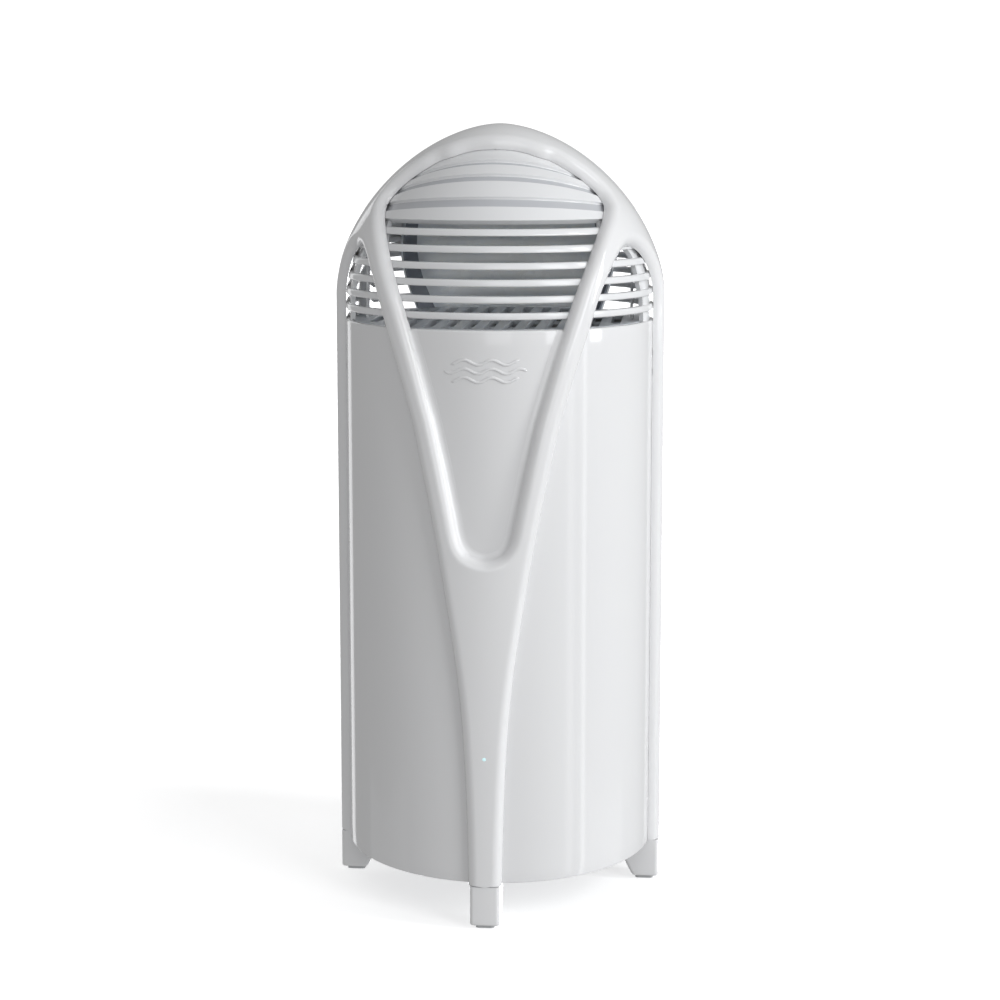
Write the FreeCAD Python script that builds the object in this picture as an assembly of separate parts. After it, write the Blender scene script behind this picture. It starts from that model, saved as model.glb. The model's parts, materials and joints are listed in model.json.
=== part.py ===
"""Fan-less tabletop air purifier: a louvred dome on a cylinder, held in a raised outer frame on four feet.

Frame: millimetres, +Z up, the front faces -Y, the origin is on the floor under the middle of the body.
Every sub-part is written to its own STEP file in parts/.
"""
import FreeCAD
import Part
import math
import os

from FreeCAD import Vector

# Driving dimensions of the outside
HEIGHT = 290.0
FRAME_RADIUS = 62.2
FRAME_DEPTH = 4.2
UNDER_GAP = 16.0
RIM_HEIGHT = 217.3
SPRING_HEIGHT = 226.0
DOME_POWER = 1.755
FIT_GAP = 0.1
SEAM_GAP = 0.3
FAR = 400.0

BODY_RADIUS = FRAME_RADIUS - FRAME_DEPTH
DOME_RISE = HEIGHT - SPRING_HEIGHT

# Outer frame: half-widths of the Y and of its opening, and of the side posts, as (half-width, height)
STEM_HALF = 6.2
ARM_OUTLINE = [(6.7, 49.0), (8.9, 85.0), (13.6, 120.0), (17.7, 142.0), (24.0, 174.0), (34.0, 210.0),
               (43.0, 230.0), (46.5, 241.0), (52.3, 246.5)]
POST_OUTLINE = [(6.4, 226.0), (6.6, 232.0), (10.8, 241.0), (16.0, 244.5), (23.3, 246.5)]
VEE_BOTTOM = 138.0
VEE_OUTLINE = [(7.2, 146.5), (9.4, 156.0), (13.0, 174.0), (22.6, 210.0), (33.3, 234.0), (41.5, 258.0)]
VEE_TOP_HALF = 43.5
CROWN_HALF = 20.5
VEE_ROUND = 3.4

# Body shell and base
WALL = 2.5
BASE_THICK = 2.5
BASE_RADIUS = BODY_RADIUS - 1.2
SKIRT_WALL = 0.9
SKIRT_BOTTOM = UNDER_GAP + 0.3
LEDGE_DEPTH = 2.0
BASE_TOP = UNDER_GAP + BASE_THICK
SHELL_BOTTOM = BASE_TOP + SEAM_GAP
SHELL_INNER = BODY_RADIUS - WALL
FLANGE_WALL = 2.3
FLANGE_TOP = 28.0
SLOT_COUNT = 36
SLOT_WIDTH = 3.0
SLOT_INNER = 42.5
SLOT_OUTER = 50.0

# Feet and their pads, the foot's depth is radial
FOOT_HALF = 5.4
FOOT_RADIUS = FRAME_RADIUS - 0.4
FOOT_DEPTH = 10.0
FOOT_DEPTH_TOP = 17.5
FOOT_ROUND = 2.0
PAD_THICK = 1.5
PAD_HALF = 4.2
PAD_INNER = 53.0
PAD_OUTER = 60.6
FOOT_SCREW_AT = 54.9
BOSS_RADIUS = 3.0
BOSS_AT = BODY_RADIUS - BOSS_RADIUS - 0.4
BOSS_TOP = 30.0

# Dome grille: louvre rings and the closed cap
GRILLE_WALL = 3.0
GRILLE_INSET = FRAME_DEPTH + FIT_GAP
LOUVRE_HEIGHT = 2.5
LOUVRE_FIRST = 220.9
LOUVRE_PITCH = 5.8
LOUVRE_COUNT = 6
CAP_BOTTOM = 255.4
RIB_MARGIN = 2.0
RIB_OUTLINE = [(12.0, 219.0), (13.1, 225.0), (15.0, 231.0), (15.5, 238.0), (15.5, 250.0)]
FIN_AT = 49.8
FIN_THICK = 1.0
FIN_HALF = 6.0
GROOVE_DEPTH = 0.8
# Grooves of the cap: (height on the centre line, distance forward there, width, tilt in degrees)
GROOVES = [(261.7, 43.2, 3.4, 6.0), (269.2, 36.3, 3.0, 25.0), (275.1, 28.9, 2.8, 37.0)]

# Rear shield behind the rear louvres
SHIELD_INSET = GRILLE_INSET + GRILLE_WALL + 0.3
SHIELD_THICK = 1.0
SHIELD_HALF = 40.0
SHIELD_TOP = 262.0

# Deck grille at the rim
DECK_THICK = 2.5
DECK_RADIUS = SHELL_INNER - SEAM_GAP
DECK_RIM = 3.2
DECK_PITCH = 7.4
DECK_SLOT = 3.7

# Core stack
STAND_RADIUS = 43.5
STAND_HOLE = 16.0
STAND_BOTTOM = 64.0
STAND_THICK = 2.5
STAND_TOP = STAND_BOTTOM + STAND_THICK
LEG_AT = 39.0
LEG_RADIUS = 3.0
LEG_ANGLES = [30.0, 150.0, 270.0]
CORE_RADIUS = 21.0
CORE_BOTTOM = 70.0
CORE_TOP = 172.0
CHANNEL_RADIUS = 1.3
CHANNEL_PITCH = 5.2
CHANNEL_RINGS = 3
CAP_RADIUS = 24.0
CAP_BORE = 18.5
CAP_OVERLAP = 1.5
CAP_END = 3.5
SLEEVE_RADIUS = 30.0
SHIELD_TUBE_RADIUS = 34.8
SHIELD_TUBE_WALL = 0.8
SHIELD_TUBE_TOP = 205.0
ROD_AT = 32.0
ROD_RADIUS = 1.2
NUT_RADIUS = 1.9
NUT_HEIGHT = 2.0
HEATER_RADIUS = 0.45
FUSE_RADIUS = 2.2
FUSE_LENGTH = 14.0
FUSE_HEIGHT = 126.0

# Control board and what stands on it
BOARD_X = 54.0
BOARD_Y = 38.0
BOARD_BOTTOM = 28.0
BOARD_THICK = 1.6
BOARD_TOP = BOARD_BOTTOM + BOARD_THICK
STANDOFF_X = 23.0
STANDOFF_Y = 15.0
STANDOFF_RADIUS = 2.6

# Rear panel, inlet and switch
PANEL_HALF = 13.0
PANEL_TOP = 78.0
PANEL_FACE = 61.4
PANEL_BACK = 52.0
PANEL_WALL = 2.2
PANEL_BLOCK_TOP = 26.0
INLET_HEIGHT = 37.0
INLET_HALF_X = 9.6
INLET_HALF_Z = 5.4
INLET_CAVITY_X = 8.2
INLET_CAVITY_Z = 4.2
INLET_DEPTH = 11.5
INLET_BACK = 47.0
PIN_SPACING = 8.6
PIN_RADIUS = 1.18
SWITCH_HEIGHT = 61.5
SWITCH_HALF_X = 6.8
SWITCH_HALF_Z = 10.6
SWITCH_BACK = 46.0
INSERT_FACE = PANEL_FACE - 0.2
CLIP_LIP = 1.6
CLIP_THICK = 2.0
ROCKER_PIVOT_Y = 56.2
ROCKER_RADIUS = 8.6
ROCKER_HALF_X = 5.5
ROCKER_WAIST = 3.6
ROCKER_TILT = 8.0
ROCKER_BACK = 3.0
ROCKER_GAP = 0.3
PIVOT_RADIUS = 1.0
PIVOT_FIT = 0.05
PIVOT_LENGTH = 0.9

# Light pipe and its lamp
LIGHT_HEIGHT = 63.8
PIPE_RADIUS = 0.9
LED_RADIUS = 1.5

FOOT_TURNS = {"front": 0.0, "right": 90.0, "rear": 180.0, "left": 270.0}
Z_AXIS = Vector(0.0, 0.0, 1.0)
ORIGIN = Vector(0.0, 0.0, 0.0)


def save(shape, node):
    """Write one sub-part, after checking that it is closed and valid."""
    if not shape.isValid():
        print("not valid:", node)
    shape.exportStep("parts/" + node + ".step")
    print(node, len(shape.Solids), "solids", round(shape.Volume), "mm3")


def box(x0, x1, y0, y1, z0, z1):
    """A block between two corners."""
    return Part.makeBox(x1 - x0, y1 - y0, z1 - z0, Vector(x0, y0, z0))


def disc(radius, z0, z1, x=0.0, y=0.0):
    """An upright cylinder."""
    return Part.makeCylinder(radius, z1 - z0, Vector(x, y, z0), Z_AXIS)


def tube(outer, inner, z0, z1, x=0.0, y=0.0):
    """An upright tube."""
    return disc(outer, z0, z1, x, y).cut(disc(inner, z0 - 1.0, z1 + 1.0, x, y))


def rod_y(radius, y0, y1, x, z):
    """A cylinder along Y."""
    return Part.makeCylinder(radius, y1 - y0, Vector(x, y0, z), Vector(0.0, 1.0, 0.0))


def turned(shape, degrees):
    """The shape turned about the vertical axis."""
    copy = shape.copy()
    copy.rotate(ORIGIN, Z_AXIS, degrees)
    return copy


def moved(shape, x, y, z):
    """The shape moved."""
    copy = shape.copy()
    copy.translate(Vector(x, y, z))
    return copy


def fused(shapes):
    """One solid from several that meet."""
    joined = shapes[0].multiFuse(shapes[1:])
    return joined.removeSplitter()


def dome_solid(inset, bottom):
    """The solid under the dome's superellipse, shrunk by inset, down to the height bottom."""
    radius = FRAME_RADIUS - inset
    rise = DOME_RISE - inset
    steps = 12
    points = []
    for step in range(steps + 1):
        angle = 0.5 * math.pi * step / steps
        across = radius * max(math.cos(angle), 0.0) ** (2.0 / DOME_POWER)
        up = rise * math.sin(angle) ** (2.0 / DOME_POWER)
        points.append(Vector(across, 0.0, SPRING_HEIGHT + up))
    points[-1] = Vector(0.0, 0.0, SPRING_HEIGHT + rise)
    curve = Part.BSplineCurve()
    curve.interpolate(Points=points, InitialTangent=Vector(0, 0, 1), FinalTangent=Vector(-1, 0, 0))
    foot = Vector(radius, 0.0, bottom)
    middle = Vector(0.0, 0.0, bottom)
    edges = [Part.makeLine(foot, points[0]), curve.toShape(), Part.makeLine(points[-1], middle),
             Part.makeLine(middle, foot)]
    return Part.Face(Part.Wire(edges)).revolve(ORIGIN, Z_AXIS, 360.0)


def smooth_edge(points):
    """A smooth curve through points."""
    curve = Part.BSplineCurve()
    curve.interpolate(points)
    return curve.toShape()


def mirrored_prism(outline, bottom, bottom_half, top, top_half, along_y):
    """A prism through the whole object whose outline is mirrored about the vertical axis.

    The outline holds (half-width, height) points between a flat bottom and a flat top.
    """
    def place(half, height):
        if along_y:
            return Vector(half, -FAR / 2, height)
        return Vector(-FAR / 2, half, height)

    right = [place(half, height) for half, height in outline]
    left = [place(-half, height) for half, height in outline]
    low_right = place(bottom_half, bottom)
    low_left = place(-bottom_half, bottom)
    high_right = place(top_half, outline[-1][1])
    high_left = place(-top_half, outline[-1][1])
    top_right = place(top_half, top)
    top_left = place(-top_half, top)
    edges = [Part.makeLine(low_left, low_right), Part.makeLine(low_right, right[0]), smooth_edge(right)]
    if high_right.distanceToPoint(right[-1]) > 1e-6:
        edges += [Part.makeLine(right[-1], high_right)]
    edges += [Part.makeLine(high_right, top_right), Part.makeLine(top_right, top_left)]
    edges += [Part.makeLine(top_left, high_left)]
    if high_left.distanceToPoint(left[-1]) > 1e-6:
        edges += [Part.makeLine(high_left, left[-1])]
    edges += [smooth_edge(left), Part.makeLine(left[0], low_left)]
    direction = Vector(0.0, FAR, 0.0) if along_y else Vector(FAR, 0.0, 0.0)
    return Part.Face(Part.Wire(Part.sortEdges(edges)[0])).extrude(direction)


def widened(outline, extra):
    """The outline with its half-widths changed by extra."""
    return [(half + extra, height) for half, height in outline]


def vee_cutter(extra):
    """The opening between the arms of the Y, front and rear, which stops short of the crown band."""
    outline = widened(VEE_OUTLINE, extra)
    bottom_half, start = outline[0]
    radius = bottom_half
    edges = []
    low = Vector(0.0, -FAR / 2, VEE_BOTTOM)
    right = [Vector(half, -FAR / 2, height) for half, height in outline]
    left = [Vector(-half, -FAR / 2, height) for half, height in outline]
    slope = math.radians(12.0)
    bend_z = VEE_BOTTOM + radius * (1.0 - math.sin(math.radians(30.0)))
    bend_x = radius * math.cos(math.radians(30.0))
    edges.append(Part.Arc(right[0], Vector(bend_x * math.cos(slope), -FAR / 2, bend_z), low).toShape())
    edges.append(Part.Arc(low, Vector(-bend_x * math.cos(slope), -FAR / 2, bend_z), left[0]).toShape())
    edges.append(smooth_edge(right))
    edges.append(smooth_edge(left))
    top_right = Vector(VEE_TOP_HALF + extra, -FAR / 2, FAR)
    top_left = Vector(-VEE_TOP_HALF - extra, -FAR / 2, FAR)
    edges.append(Part.makeLine(right[-1], top_right))
    edges.append(Part.makeLine(top_right, top_left))
    edges.append(Part.makeLine(top_left, left[-1]))
    face = Part.Face(Part.Wire(Part.sortEdges(edges)[0]))
    front = face.extrude(Vector(0.0, FAR / 2 - CROWN_HALF + extra, 0.0))
    return front, front.mirror(ORIGIN, Vector(0.0, 1.0, 0.0))


def rounded(solid, radius, wanted):
    """Fillet the edges that wanted() picks, or leave them sharp where that fails."""
    edges = [edge for edge in solid.Edges if wanted(edge)]
    try:
        result = solid.makeFillet(radius, edges)
        if result.isValid() and len(result.Solids) == 1:
            return result
    except Exception as problem:
        print("fillet left out:", problem)
    return solid


def outer_frame():
    """The raised frame: Y at the front and rear, posts at the sides and the band over the crown."""
    blank = dome_solid(0.0, UNDER_GAP).cut(dome_solid(FRAME_DEPTH - FIT_GAP, UNDER_GAP - 5.0))
    ways = mirrored_prism(ARM_OUTLINE, 0.0, STEM_HALF, FAR, FRAME_RADIUS + 20.0, True)
    posts = mirrored_prism(POST_OUTLINE, 0.0, POST_OUTLINE[0][0], FAR, FRAME_RADIUS + 20.0, False)
    frame = blank.common(ways.fuse(posts))
    front, rear = vee_cutter(0.0)
    frame = frame.cut(front).cut(rear)
    gap = SEAM_GAP
    panel_seat = box(-PANEL_HALF - gap, PANEL_HALF + gap, 0.0, FAR, 0.0, PANEL_TOP + gap)
    frame = frame.cut(panel_seat)
    frame = frame.cut(rod_y(PIPE_RADIUS + FIT_GAP, -FRAME_RADIUS - 5.0, 0.0, 0.0, LIGHT_HEIGHT))
    return frame


def body_shell():
    """The cylinder wall with a skirt round the base, a ledge for the deck, screw bosses and openings."""
    wall = tube(BODY_RADIUS, SHELL_INNER, SHELL_BOTTOM, RIM_HEIGHT)
    ledge_top = RIM_HEIGHT - DECK_THICK
    ledge = tube(BODY_RADIUS - 0.5, SHELL_INNER - LEDGE_DEPTH, ledge_top - LEDGE_DEPTH, ledge_top)
    bosses = []
    for side in ("front", "right", "left"):
        bosses.append(turned(disc(BOSS_RADIUS, SHELL_BOTTOM, BOSS_TOP, 0.0, -BOSS_AT), FOOT_TURNS[side]))
    skirt = tube(BODY_RADIUS, BODY_RADIUS - SKIRT_WALL, SKIRT_BOTTOM, SHELL_BOTTOM + 0.5)
    shell = fused([wall, ledge, skirt] + bosses)
    for turn in FOOT_TURNS.values():
        shell = shell.cut(turned(disc(1.0, SHELL_BOTTOM - 1.0, BOSS_TOP - 2.0, 0.0, -FOOT_SCREW_AT), turn))
    gap = FIT_GAP
    notch = box(-PANEL_HALF - gap, PANEL_HALF + gap, PANEL_BACK - 8.0, FAR, 0.0, PANEL_TOP + gap)
    shell = shell.cut(notch)
    return shell.cut(rod_y(PIPE_RADIUS + gap, -FRAME_RADIUS - 5.0, 0.0, 0.0, LIGHT_HEIGHT))


def base_plate():
    """The round floor with radial air slots, a locating flange and stand-offs for the board."""
    flange_outer = SHELL_INNER - SEAM_GAP
    plate = disc(BASE_RADIUS, UNDER_GAP, BASE_TOP)
    flange = tube(flange_outer, flange_outer - FLANGE_WALL, BASE_TOP - 0.5, FLANGE_TOP)
    parts = [plate, flange]
    for x in (-STANDOFF_X, STANDOFF_X):
        for y in (-STANDOFF_Y, STANDOFF_Y):
            parts.append(disc(STANDOFF_RADIUS, BASE_TOP - 0.5, BOARD_BOTTOM, x, y))
    base = fused(parts)
    cuts = []
    for index in range(SLOT_COUNT):
        half = SLOT_WIDTH / 2
        slot = box(-half, half, -SLOT_OUTER + half, -SLOT_INNER - half, 0.0, BASE_TOP + 1.0)
        ends = [disc(half, 0.0, BASE_TOP + 1.0, 0.0, y) for y in (-SLOT_OUTER + half, -SLOT_INNER - half)]
        cuts.append(turned(fused([slot] + ends), (index + 0.5) * 360.0 / SLOT_COUNT))
    for turn in FOOT_TURNS.values():
        cuts.append(turned(disc(1.1, 0.0, FLANGE_TOP + 1.0, 0.0, -FOOT_SCREW_AT), turn))
        clear = BOSS_RADIUS + SEAM_GAP
        cuts.append(turned(disc(clear, BASE_TOP, FLANGE_TOP + 1.0, 0.0, -BOSS_AT), turn))
    for x in (-STANDOFF_X, STANDOFF_X):
        for y in (-STANDOFF_Y, STANDOFF_Y):
            cuts.append(disc(1.05, BASE_TOP, BOARD_BOTTOM + 1.0, x, y))
    for angle in LEG_ANGLES:
        x, y = polar(LEG_AT, angle)
        cuts.append(disc(1.35, 0.0, BASE_TOP + 1.0, x, y))
        cuts.append(disc(2.75, 0.0, UNDER_GAP + 1.5, x, y))
    gap = FIT_GAP
    cuts.append(box(-PANEL_HALF - gap, PANEL_HALF + gap, PANEL_BACK - gap, FAR, 0.0, FAR))
    return base.cut(Part.makeCompound(cuts))


def polar(radius, degrees):
    """X and Y of a point at a radius and an angle from +X."""
    angle = math.radians(degrees)
    return radius * math.cos(angle), radius * math.sin(angle)


def foot():
    """One leg under the body, at the front: flat sides, a curved outer face and a sloping inner face."""
    points = [Vector(0.0, -FOOT_RADIUS - 1.0, PAD_THICK),
              Vector(0.0, -FOOT_RADIUS + FOOT_DEPTH, PAD_THICK),
              Vector(0.0, -FOOT_RADIUS + FOOT_DEPTH_TOP, UNDER_GAP),
              Vector(0.0, -FOOT_RADIUS - 1.0, UNDER_GAP)]
    side = Part.Face(Part.makePolygon(points + [points[0]]))
    wedge = moved(side, -FOOT_HALF, 0.0, 0.0).extrude(Vector(2 * FOOT_HALF, 0.0, 0.0))
    leg = wedge.common(disc(FOOT_RADIUS, 0.0, UNDER_GAP))

    def low_edge(edge):
        """The edges round the bottom of the foot, apart from the inner one."""
        box_of = edge.BoundBox
        return box_of.ZMax < PAD_THICK + 0.01 and box_of.YMin < -FOOT_RADIUS + FOOT_DEPTH - 0.01

    leg = rounded(leg, FOOT_ROUND, low_edge)
    bore = disc(1.1, 0.0, UNDER_GAP + 1.0, 0.0, -FOOT_SCREW_AT)
    counterbore = disc(1.9, 0.0, 7.0, 0.0, -FOOT_SCREW_AT)
    return leg.cut(bore).cut(counterbore)


def foot_pad():
    """One rubber pad under a foot, at the front."""
    pad = box(-PAD_HALF + 0.8, PAD_HALF - 0.8, -PAD_OUTER + 0.8, -PAD_INNER, 0.0, PAD_THICK)

    def upright(edge):
        """The upright corners."""
        return edge.BoundBox.ZLength > PAD_THICK - 0.01

    return rounded(pad, 1.2, upright)


def screw(head_radius, head_height, shank_radius, length):
    """A pan-head screw, head down at the origin, with a cross recess."""
    head = disc(head_radius, 0.0, head_height)
    shank = disc(shank_radius, head_height - 0.1, head_height + length)
    recess = box(-0.3, 0.3, -1.1, 1.1, -1.0, 0.7)
    recess = recess.fuse(box(-1.1, 1.1, -0.3, 0.3, -1.0, 0.7))
    return fused([head, shank]).cut(recess)


def foot_screws():
    """The four screws through the feet and the base plate."""
    one = moved(screw(1.75, 1.4, 0.95, 19.0), 0.0, -FOOT_SCREW_AT, 5.6)
    return Part.makeCompound([turned(one, turn) for turn in FOOT_TURNS.values()])


def dome_grille():
    """The louvred dome: six rings, ribs hidden behind the frame, and the closed, grooved cap."""
    skin = dome_solid(GRILLE_INSET, RIM_HEIGHT)
    skin = skin.cut(dome_solid(GRILLE_INSET + GRILLE_WALL, RIM_HEIGHT - 5.0))
    keep = [disc(FAR, CAP_BOTTOM, HEIGHT + 10.0)]
    for index in range(LOUVRE_COUNT):
        low = LOUVRE_FIRST + index * LOUVRE_PITCH
        keep.append(disc(FAR, low, low + LOUVRE_HEIGHT))
    outer = mirrored_prism(widened(ARM_OUTLINE, -RIB_MARGIN), 0.0, STEM_HALF - RIB_MARGIN, CAP_BOTTOM + 5.0,
                           ARM_OUTLINE[-1][0] - RIB_MARGIN, True)
    front, rear = vee_cutter(VEE_ROUND + RIB_MARGIN)
    keep.append(outer.cut(front).cut(rear))
    keep.append(mirrored_prism(RIB_OUTLINE, RIM_HEIGHT, RIB_OUTLINE[0][0], CAP_BOTTOM + 5.0,
                               RIB_OUTLINE[-1][0], False))
    grille = skin.common(keep[0].multiFuse(keep[1:]))
    fins = []
    for side in (-1.0, 1.0):
        inner = side * FIN_AT - FIN_THICK / 2
        fin = box(inner, inner + FIN_THICK, -FIN_HALF, FIN_HALF, RIM_HEIGHT, SPRING_HEIGHT + 12.0)
        near, far = sorted((side * FIN_AT, side * (BODY_RADIUS - 1.5)))
        web = box(near, far, -0.8, 0.8, RIM_HEIGHT, SPRING_HEIGHT + 6.0)
        fins += [fin, web]
    grille = grille.multiFuse(fins)
    grille = grille.cut(groove_cutter())
    solids = sorted(grille.Solids, key=lambda solid: solid.Volume)
    return solids[-1]


def groove_cutter():
    """The shallow grooves across the closed cap, front and rear, each in a plane tilted about X."""
    rind = dome_solid(GRILLE_INSET - 1.0, CAP_BOTTOM).cut(dome_solid(GRILLE_INSET + GROOVE_DEPTH, RIM_HEIGHT))
    slabs = []
    for height, forward, width, tilt in GROOVES:
        slab = box(-FAR, FAR, -FAR, FAR, -width / 2, width / 2)
        slab = slab.common(box(-FAR, FAR, forward - FAR, forward - CROWN_HALF + 1.0, -FAR, FAR))
        slab.rotate(ORIGIN, Vector(1.0, 0.0, 0.0), -tilt)
        slab = moved(slab, 0.0, -forward, height)
        slabs += [slab, slab.mirror(ORIGIN, Vector(0.0, 1.0, 0.0))]
    return rind.common(Part.makeCompound(slabs))


def rear_shield():
    """The smooth curved wall behind the rear louvres."""
    wall = dome_solid(SHIELD_INSET, RIM_HEIGHT).cut(dome_solid(SHIELD_INSET + SHIELD_THICK, RIM_HEIGHT - 5.0))
    return wall.common(box(-SHIELD_HALF, SHIELD_HALF, 10.0, FAR, RIM_HEIGHT, SHIELD_TOP))


def deck_grille():
    """The flat deck at the rim: parallel bars that run from front to rear inside a rim."""
    low = RIM_HEIGHT - DECK_THICK
    deck = disc(DECK_RADIUS, low, RIM_HEIGHT)
    inner = DECK_RADIUS - DECK_RIM
    count = int(inner / DECK_PITCH)
    slots = []
    for index in range(-count, count + 1):
        x = index * DECK_PITCH
        reach = math.sqrt(max(0.0, inner ** 2 - (abs(x) + DECK_SLOT / 2) ** 2))
        if reach > 6.0:
            slots.append(box(x - DECK_SLOT / 2, x + DECK_SLOT / 2, -reach, reach, low - 1.0, RIM_HEIGHT + 1.0))
    ties = [box(-FAR, FAR, y - 0.8, y + 0.8, low, low + 1.0) for y in (-inner / 2, 0.0, inner / 2)]
    return deck.cut(Part.makeCompound(slots).cut(Part.makeCompound(ties)))


def core_stand():
    """The ring-shaped table on three legs that carries the core."""
    table = tube(STAND_RADIUS, STAND_HOLE, STAND_BOTTOM, STAND_TOP)
    legs = []
    holes = []
    for angle in LEG_ANGLES:
        x, y = polar(LEG_AT, angle)
        legs.append(disc(LEG_RADIUS, BASE_TOP, STAND_BOTTOM + 0.5, x, y))
        holes.append(disc(1.25, BASE_TOP - 1.0, BASE_TOP + 14.0, x, y))
        holes.append(disc(ROD_RADIUS + FIT_GAP, 0.0, STAND_TOP + 1.0, *polar(ROD_AT, angle)))
    return fused([table] + legs).cut(Part.makeCompound(holes))


def stand_screws():
    """The three screws that hold the stand to the base plate."""
    one = screw(2.6, 1.4, 1.2, 12.0)
    return Part.makeCompound([moved(one, *polar(LEG_AT, angle), UNDER_GAP + 0.1) for angle in LEG_ANGLES])


def channel_places():
    """The middles of the core's channels: one in the centre and rings of six, twelve and eighteen."""
    places = [(0.0, 0.0)]
    for ring in range(1, CHANNEL_RINGS + 1):
        for index in range(6 * ring):
            places.append(polar(ring * CHANNEL_PITCH, 360.0 * index / (6 * ring)))
    return places


def ceramic_core():
    """The ceramic block with fine vertical channels."""
    block = disc(CORE_RADIUS, CORE_BOTTOM, CORE_TOP)
    channels = [disc(CHANNEL_RADIUS, CORE_BOTTOM - 1.0, CORE_TOP + 1.0, x, y) for x, y in channel_places()]
    return block.cut(Part.makeCompound(channels))


def heater_wires():
    """The heating elements: straight rods in the channels of the second ring."""
    rods = [disc(HEATER_RADIUS, CORE_BOTTOM - 0.5, CORE_TOP + 0.5, x, y) for x, y in channel_places()[7:19]]
    return Part.makeCompound(rods)


def core_cap_lower():
    """The ring under the core, with a seat for it."""
    ring = tube(CAP_RADIUS, CAP_BORE, STAND_TOP, CORE_BOTTOM + CAP_OVERLAP)
    return ring.cut(disc(CORE_RADIUS + FIT_GAP, CORE_BOTTOM, CORE_TOP))


def core_cap_upper():
    """The ring on the core, with a seat for it."""
    ring = tube(CAP_RADIUS, CAP_BORE, CORE_TOP - CAP_OVERLAP, CORE_TOP + CAP_END)
    return ring.cut(disc(CORE_RADIUS + FIT_GAP, CORE_BOTTOM, CORE_TOP))


def insulation_sleeve():
    """Mineral wool round the core and its end rings."""
    return tube(SLEEVE_RADIUS, CAP_RADIUS + FIT_GAP, STAND_TOP, CORE_TOP + CAP_END)


def heat_shield():
    """The metal tube round the sleeve."""
    return tube(SHIELD_TUBE_RADIUS, SHIELD_TUBE_RADIUS - SHIELD_TUBE_WALL, STAND_TOP, SHIELD_TUBE_TOP)


def core_retainer():
    """The ring plate that the tie rods pull down on the stack."""
    low = CORE_TOP + CAP_END
    plate = tube(SHIELD_TUBE_RADIUS - SHIELD_TUBE_WALL - 0.2, CAP_BORE, low, low + 2.0)
    holes = [disc(ROD_RADIUS + FIT_GAP, 0.0, FAR, *polar(ROD_AT, angle)) for angle in LEG_ANGLES]
    return plate.cut(Part.makeCompound(holes))


def tie_rods():
    """Three rods from the stand to the retainer."""
    low = STAND_BOTTOM - NUT_HEIGHT - 1.0
    high = CORE_TOP + CAP_END + 2.0 + NUT_HEIGHT + 1.0
    return Part.makeCompound([disc(ROD_RADIUS, low, high, *polar(ROD_AT, angle)) for angle in LEG_ANGLES])


def rod_nuts():
    """Six hexagon nuts on the tie rods."""
    corners = [Vector(*polar(NUT_RADIUS, 60.0 * index), 0.0) for index in range(7)]
    hexagon = Part.Face(Part.makePolygon(corners)).extrude(Vector(0.0, 0.0, NUT_HEIGHT))
    nut = hexagon.cut(disc(ROD_RADIUS + 0.02, -1.0, NUT_HEIGHT + 1.0))
    nuts = []
    for angle in LEG_ANGLES:
        x, y = polar(ROD_AT, angle)
        nuts.append(moved(nut, x, y, STAND_BOTTOM - NUT_HEIGHT))
        nuts.append(moved(nut, x, y, CORE_TOP + CAP_END + 2.0))
    return Part.makeCompound(nuts)


def thermal_fuse():
    """The fuse, upright against the front of the heat shield."""
    y = -SHIELD_TUBE_RADIUS - FUSE_RADIUS - 0.6
    half = FUSE_LENGTH / 2
    can = disc(FUSE_RADIUS, FUSE_HEIGHT - half, FUSE_HEIGHT + half, 0.0, y)
    lead = disc(0.4, FUSE_HEIGHT - half - 8.0, FUSE_HEIGHT + half + 8.0, 0.0, y)
    return fused([can, lead])


def fuse_clip():
    """The clip that holds the fuse on the heat shield."""
    y = -SHIELD_TUBE_RADIUS - FUSE_RADIUS - 0.6
    block = box(-3.6, 3.6, y - 3.4, y + 4.0, FUSE_HEIGHT - 3.0, FUSE_HEIGHT + 3.0)
    block = block.cut(disc(SHIELD_TUBE_RADIUS + 0.05, 0.0, FAR))
    return block.cut(disc(FUSE_RADIUS + 0.05, 0.0, FAR, 0.0, y))


def control_board():
    """The circuit board with its screw holes and clipped corners."""
    board = box(-BOARD_X / 2, BOARD_X / 2, -BOARD_Y / 2, BOARD_Y / 2, BOARD_BOTTOM, BOARD_TOP)

    def upright(edge):
        """The four corners."""
        return edge.BoundBox.ZLength > BOARD_THICK - 0.01

    board = rounded(board, 3.0, upright)
    for x in (-STANDOFF_X, STANDOFF_X):
        for y in (-STANDOFF_Y, STANDOFF_Y):
            board = board.cut(disc(1.3, 0.0, FAR, x, y))
    return board


def board_screws():
    """Four screws that hold the board down."""
    one = screw(2.2, 1.5, 1.0, 8.5)
    one.rotate(ORIGIN, Vector(1.0, 0.0, 0.0), 180.0)
    places = [(x, y) for x in (-STANDOFF_X, STANDOFF_X) for y in (-STANDOFF_Y, STANDOFF_Y)]
    return Part.makeCompound([moved(one, x, y, BOARD_TOP + 1.5) for x, y in places])


def transformer():
    """A small mains transformer: iron core with a winding bobbin through it."""
    iron = box(-20.0, -2.0, -9.0, 7.0, BOARD_TOP, BOARD_TOP + 17.0)
    window = box(-16.5, -5.5, -20.0, 20.0, BOARD_TOP + 3.5, BOARD_TOP + 13.5)
    bobbin = box(-16.4, -5.6, -10.8, 8.0, BOARD_TOP + 3.6, BOARD_TOP + 13.4)
    return fused([iron.cut(window), bobbin.fuse(box(-17.0, -5.0, -9.0, 7.0, BOARD_TOP + 2.0, BOARD_TOP + 15.0))])


def capacitors():
    """Two upright capacitors."""
    big = disc(5.0, BOARD_TOP, BOARD_TOP + 16.0, 12.0, -7.0)
    small = disc(3.8, BOARD_TOP, BOARD_TOP + 12.0, 17.0, 4.5)
    return Part.makeCompound([big, small])


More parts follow.
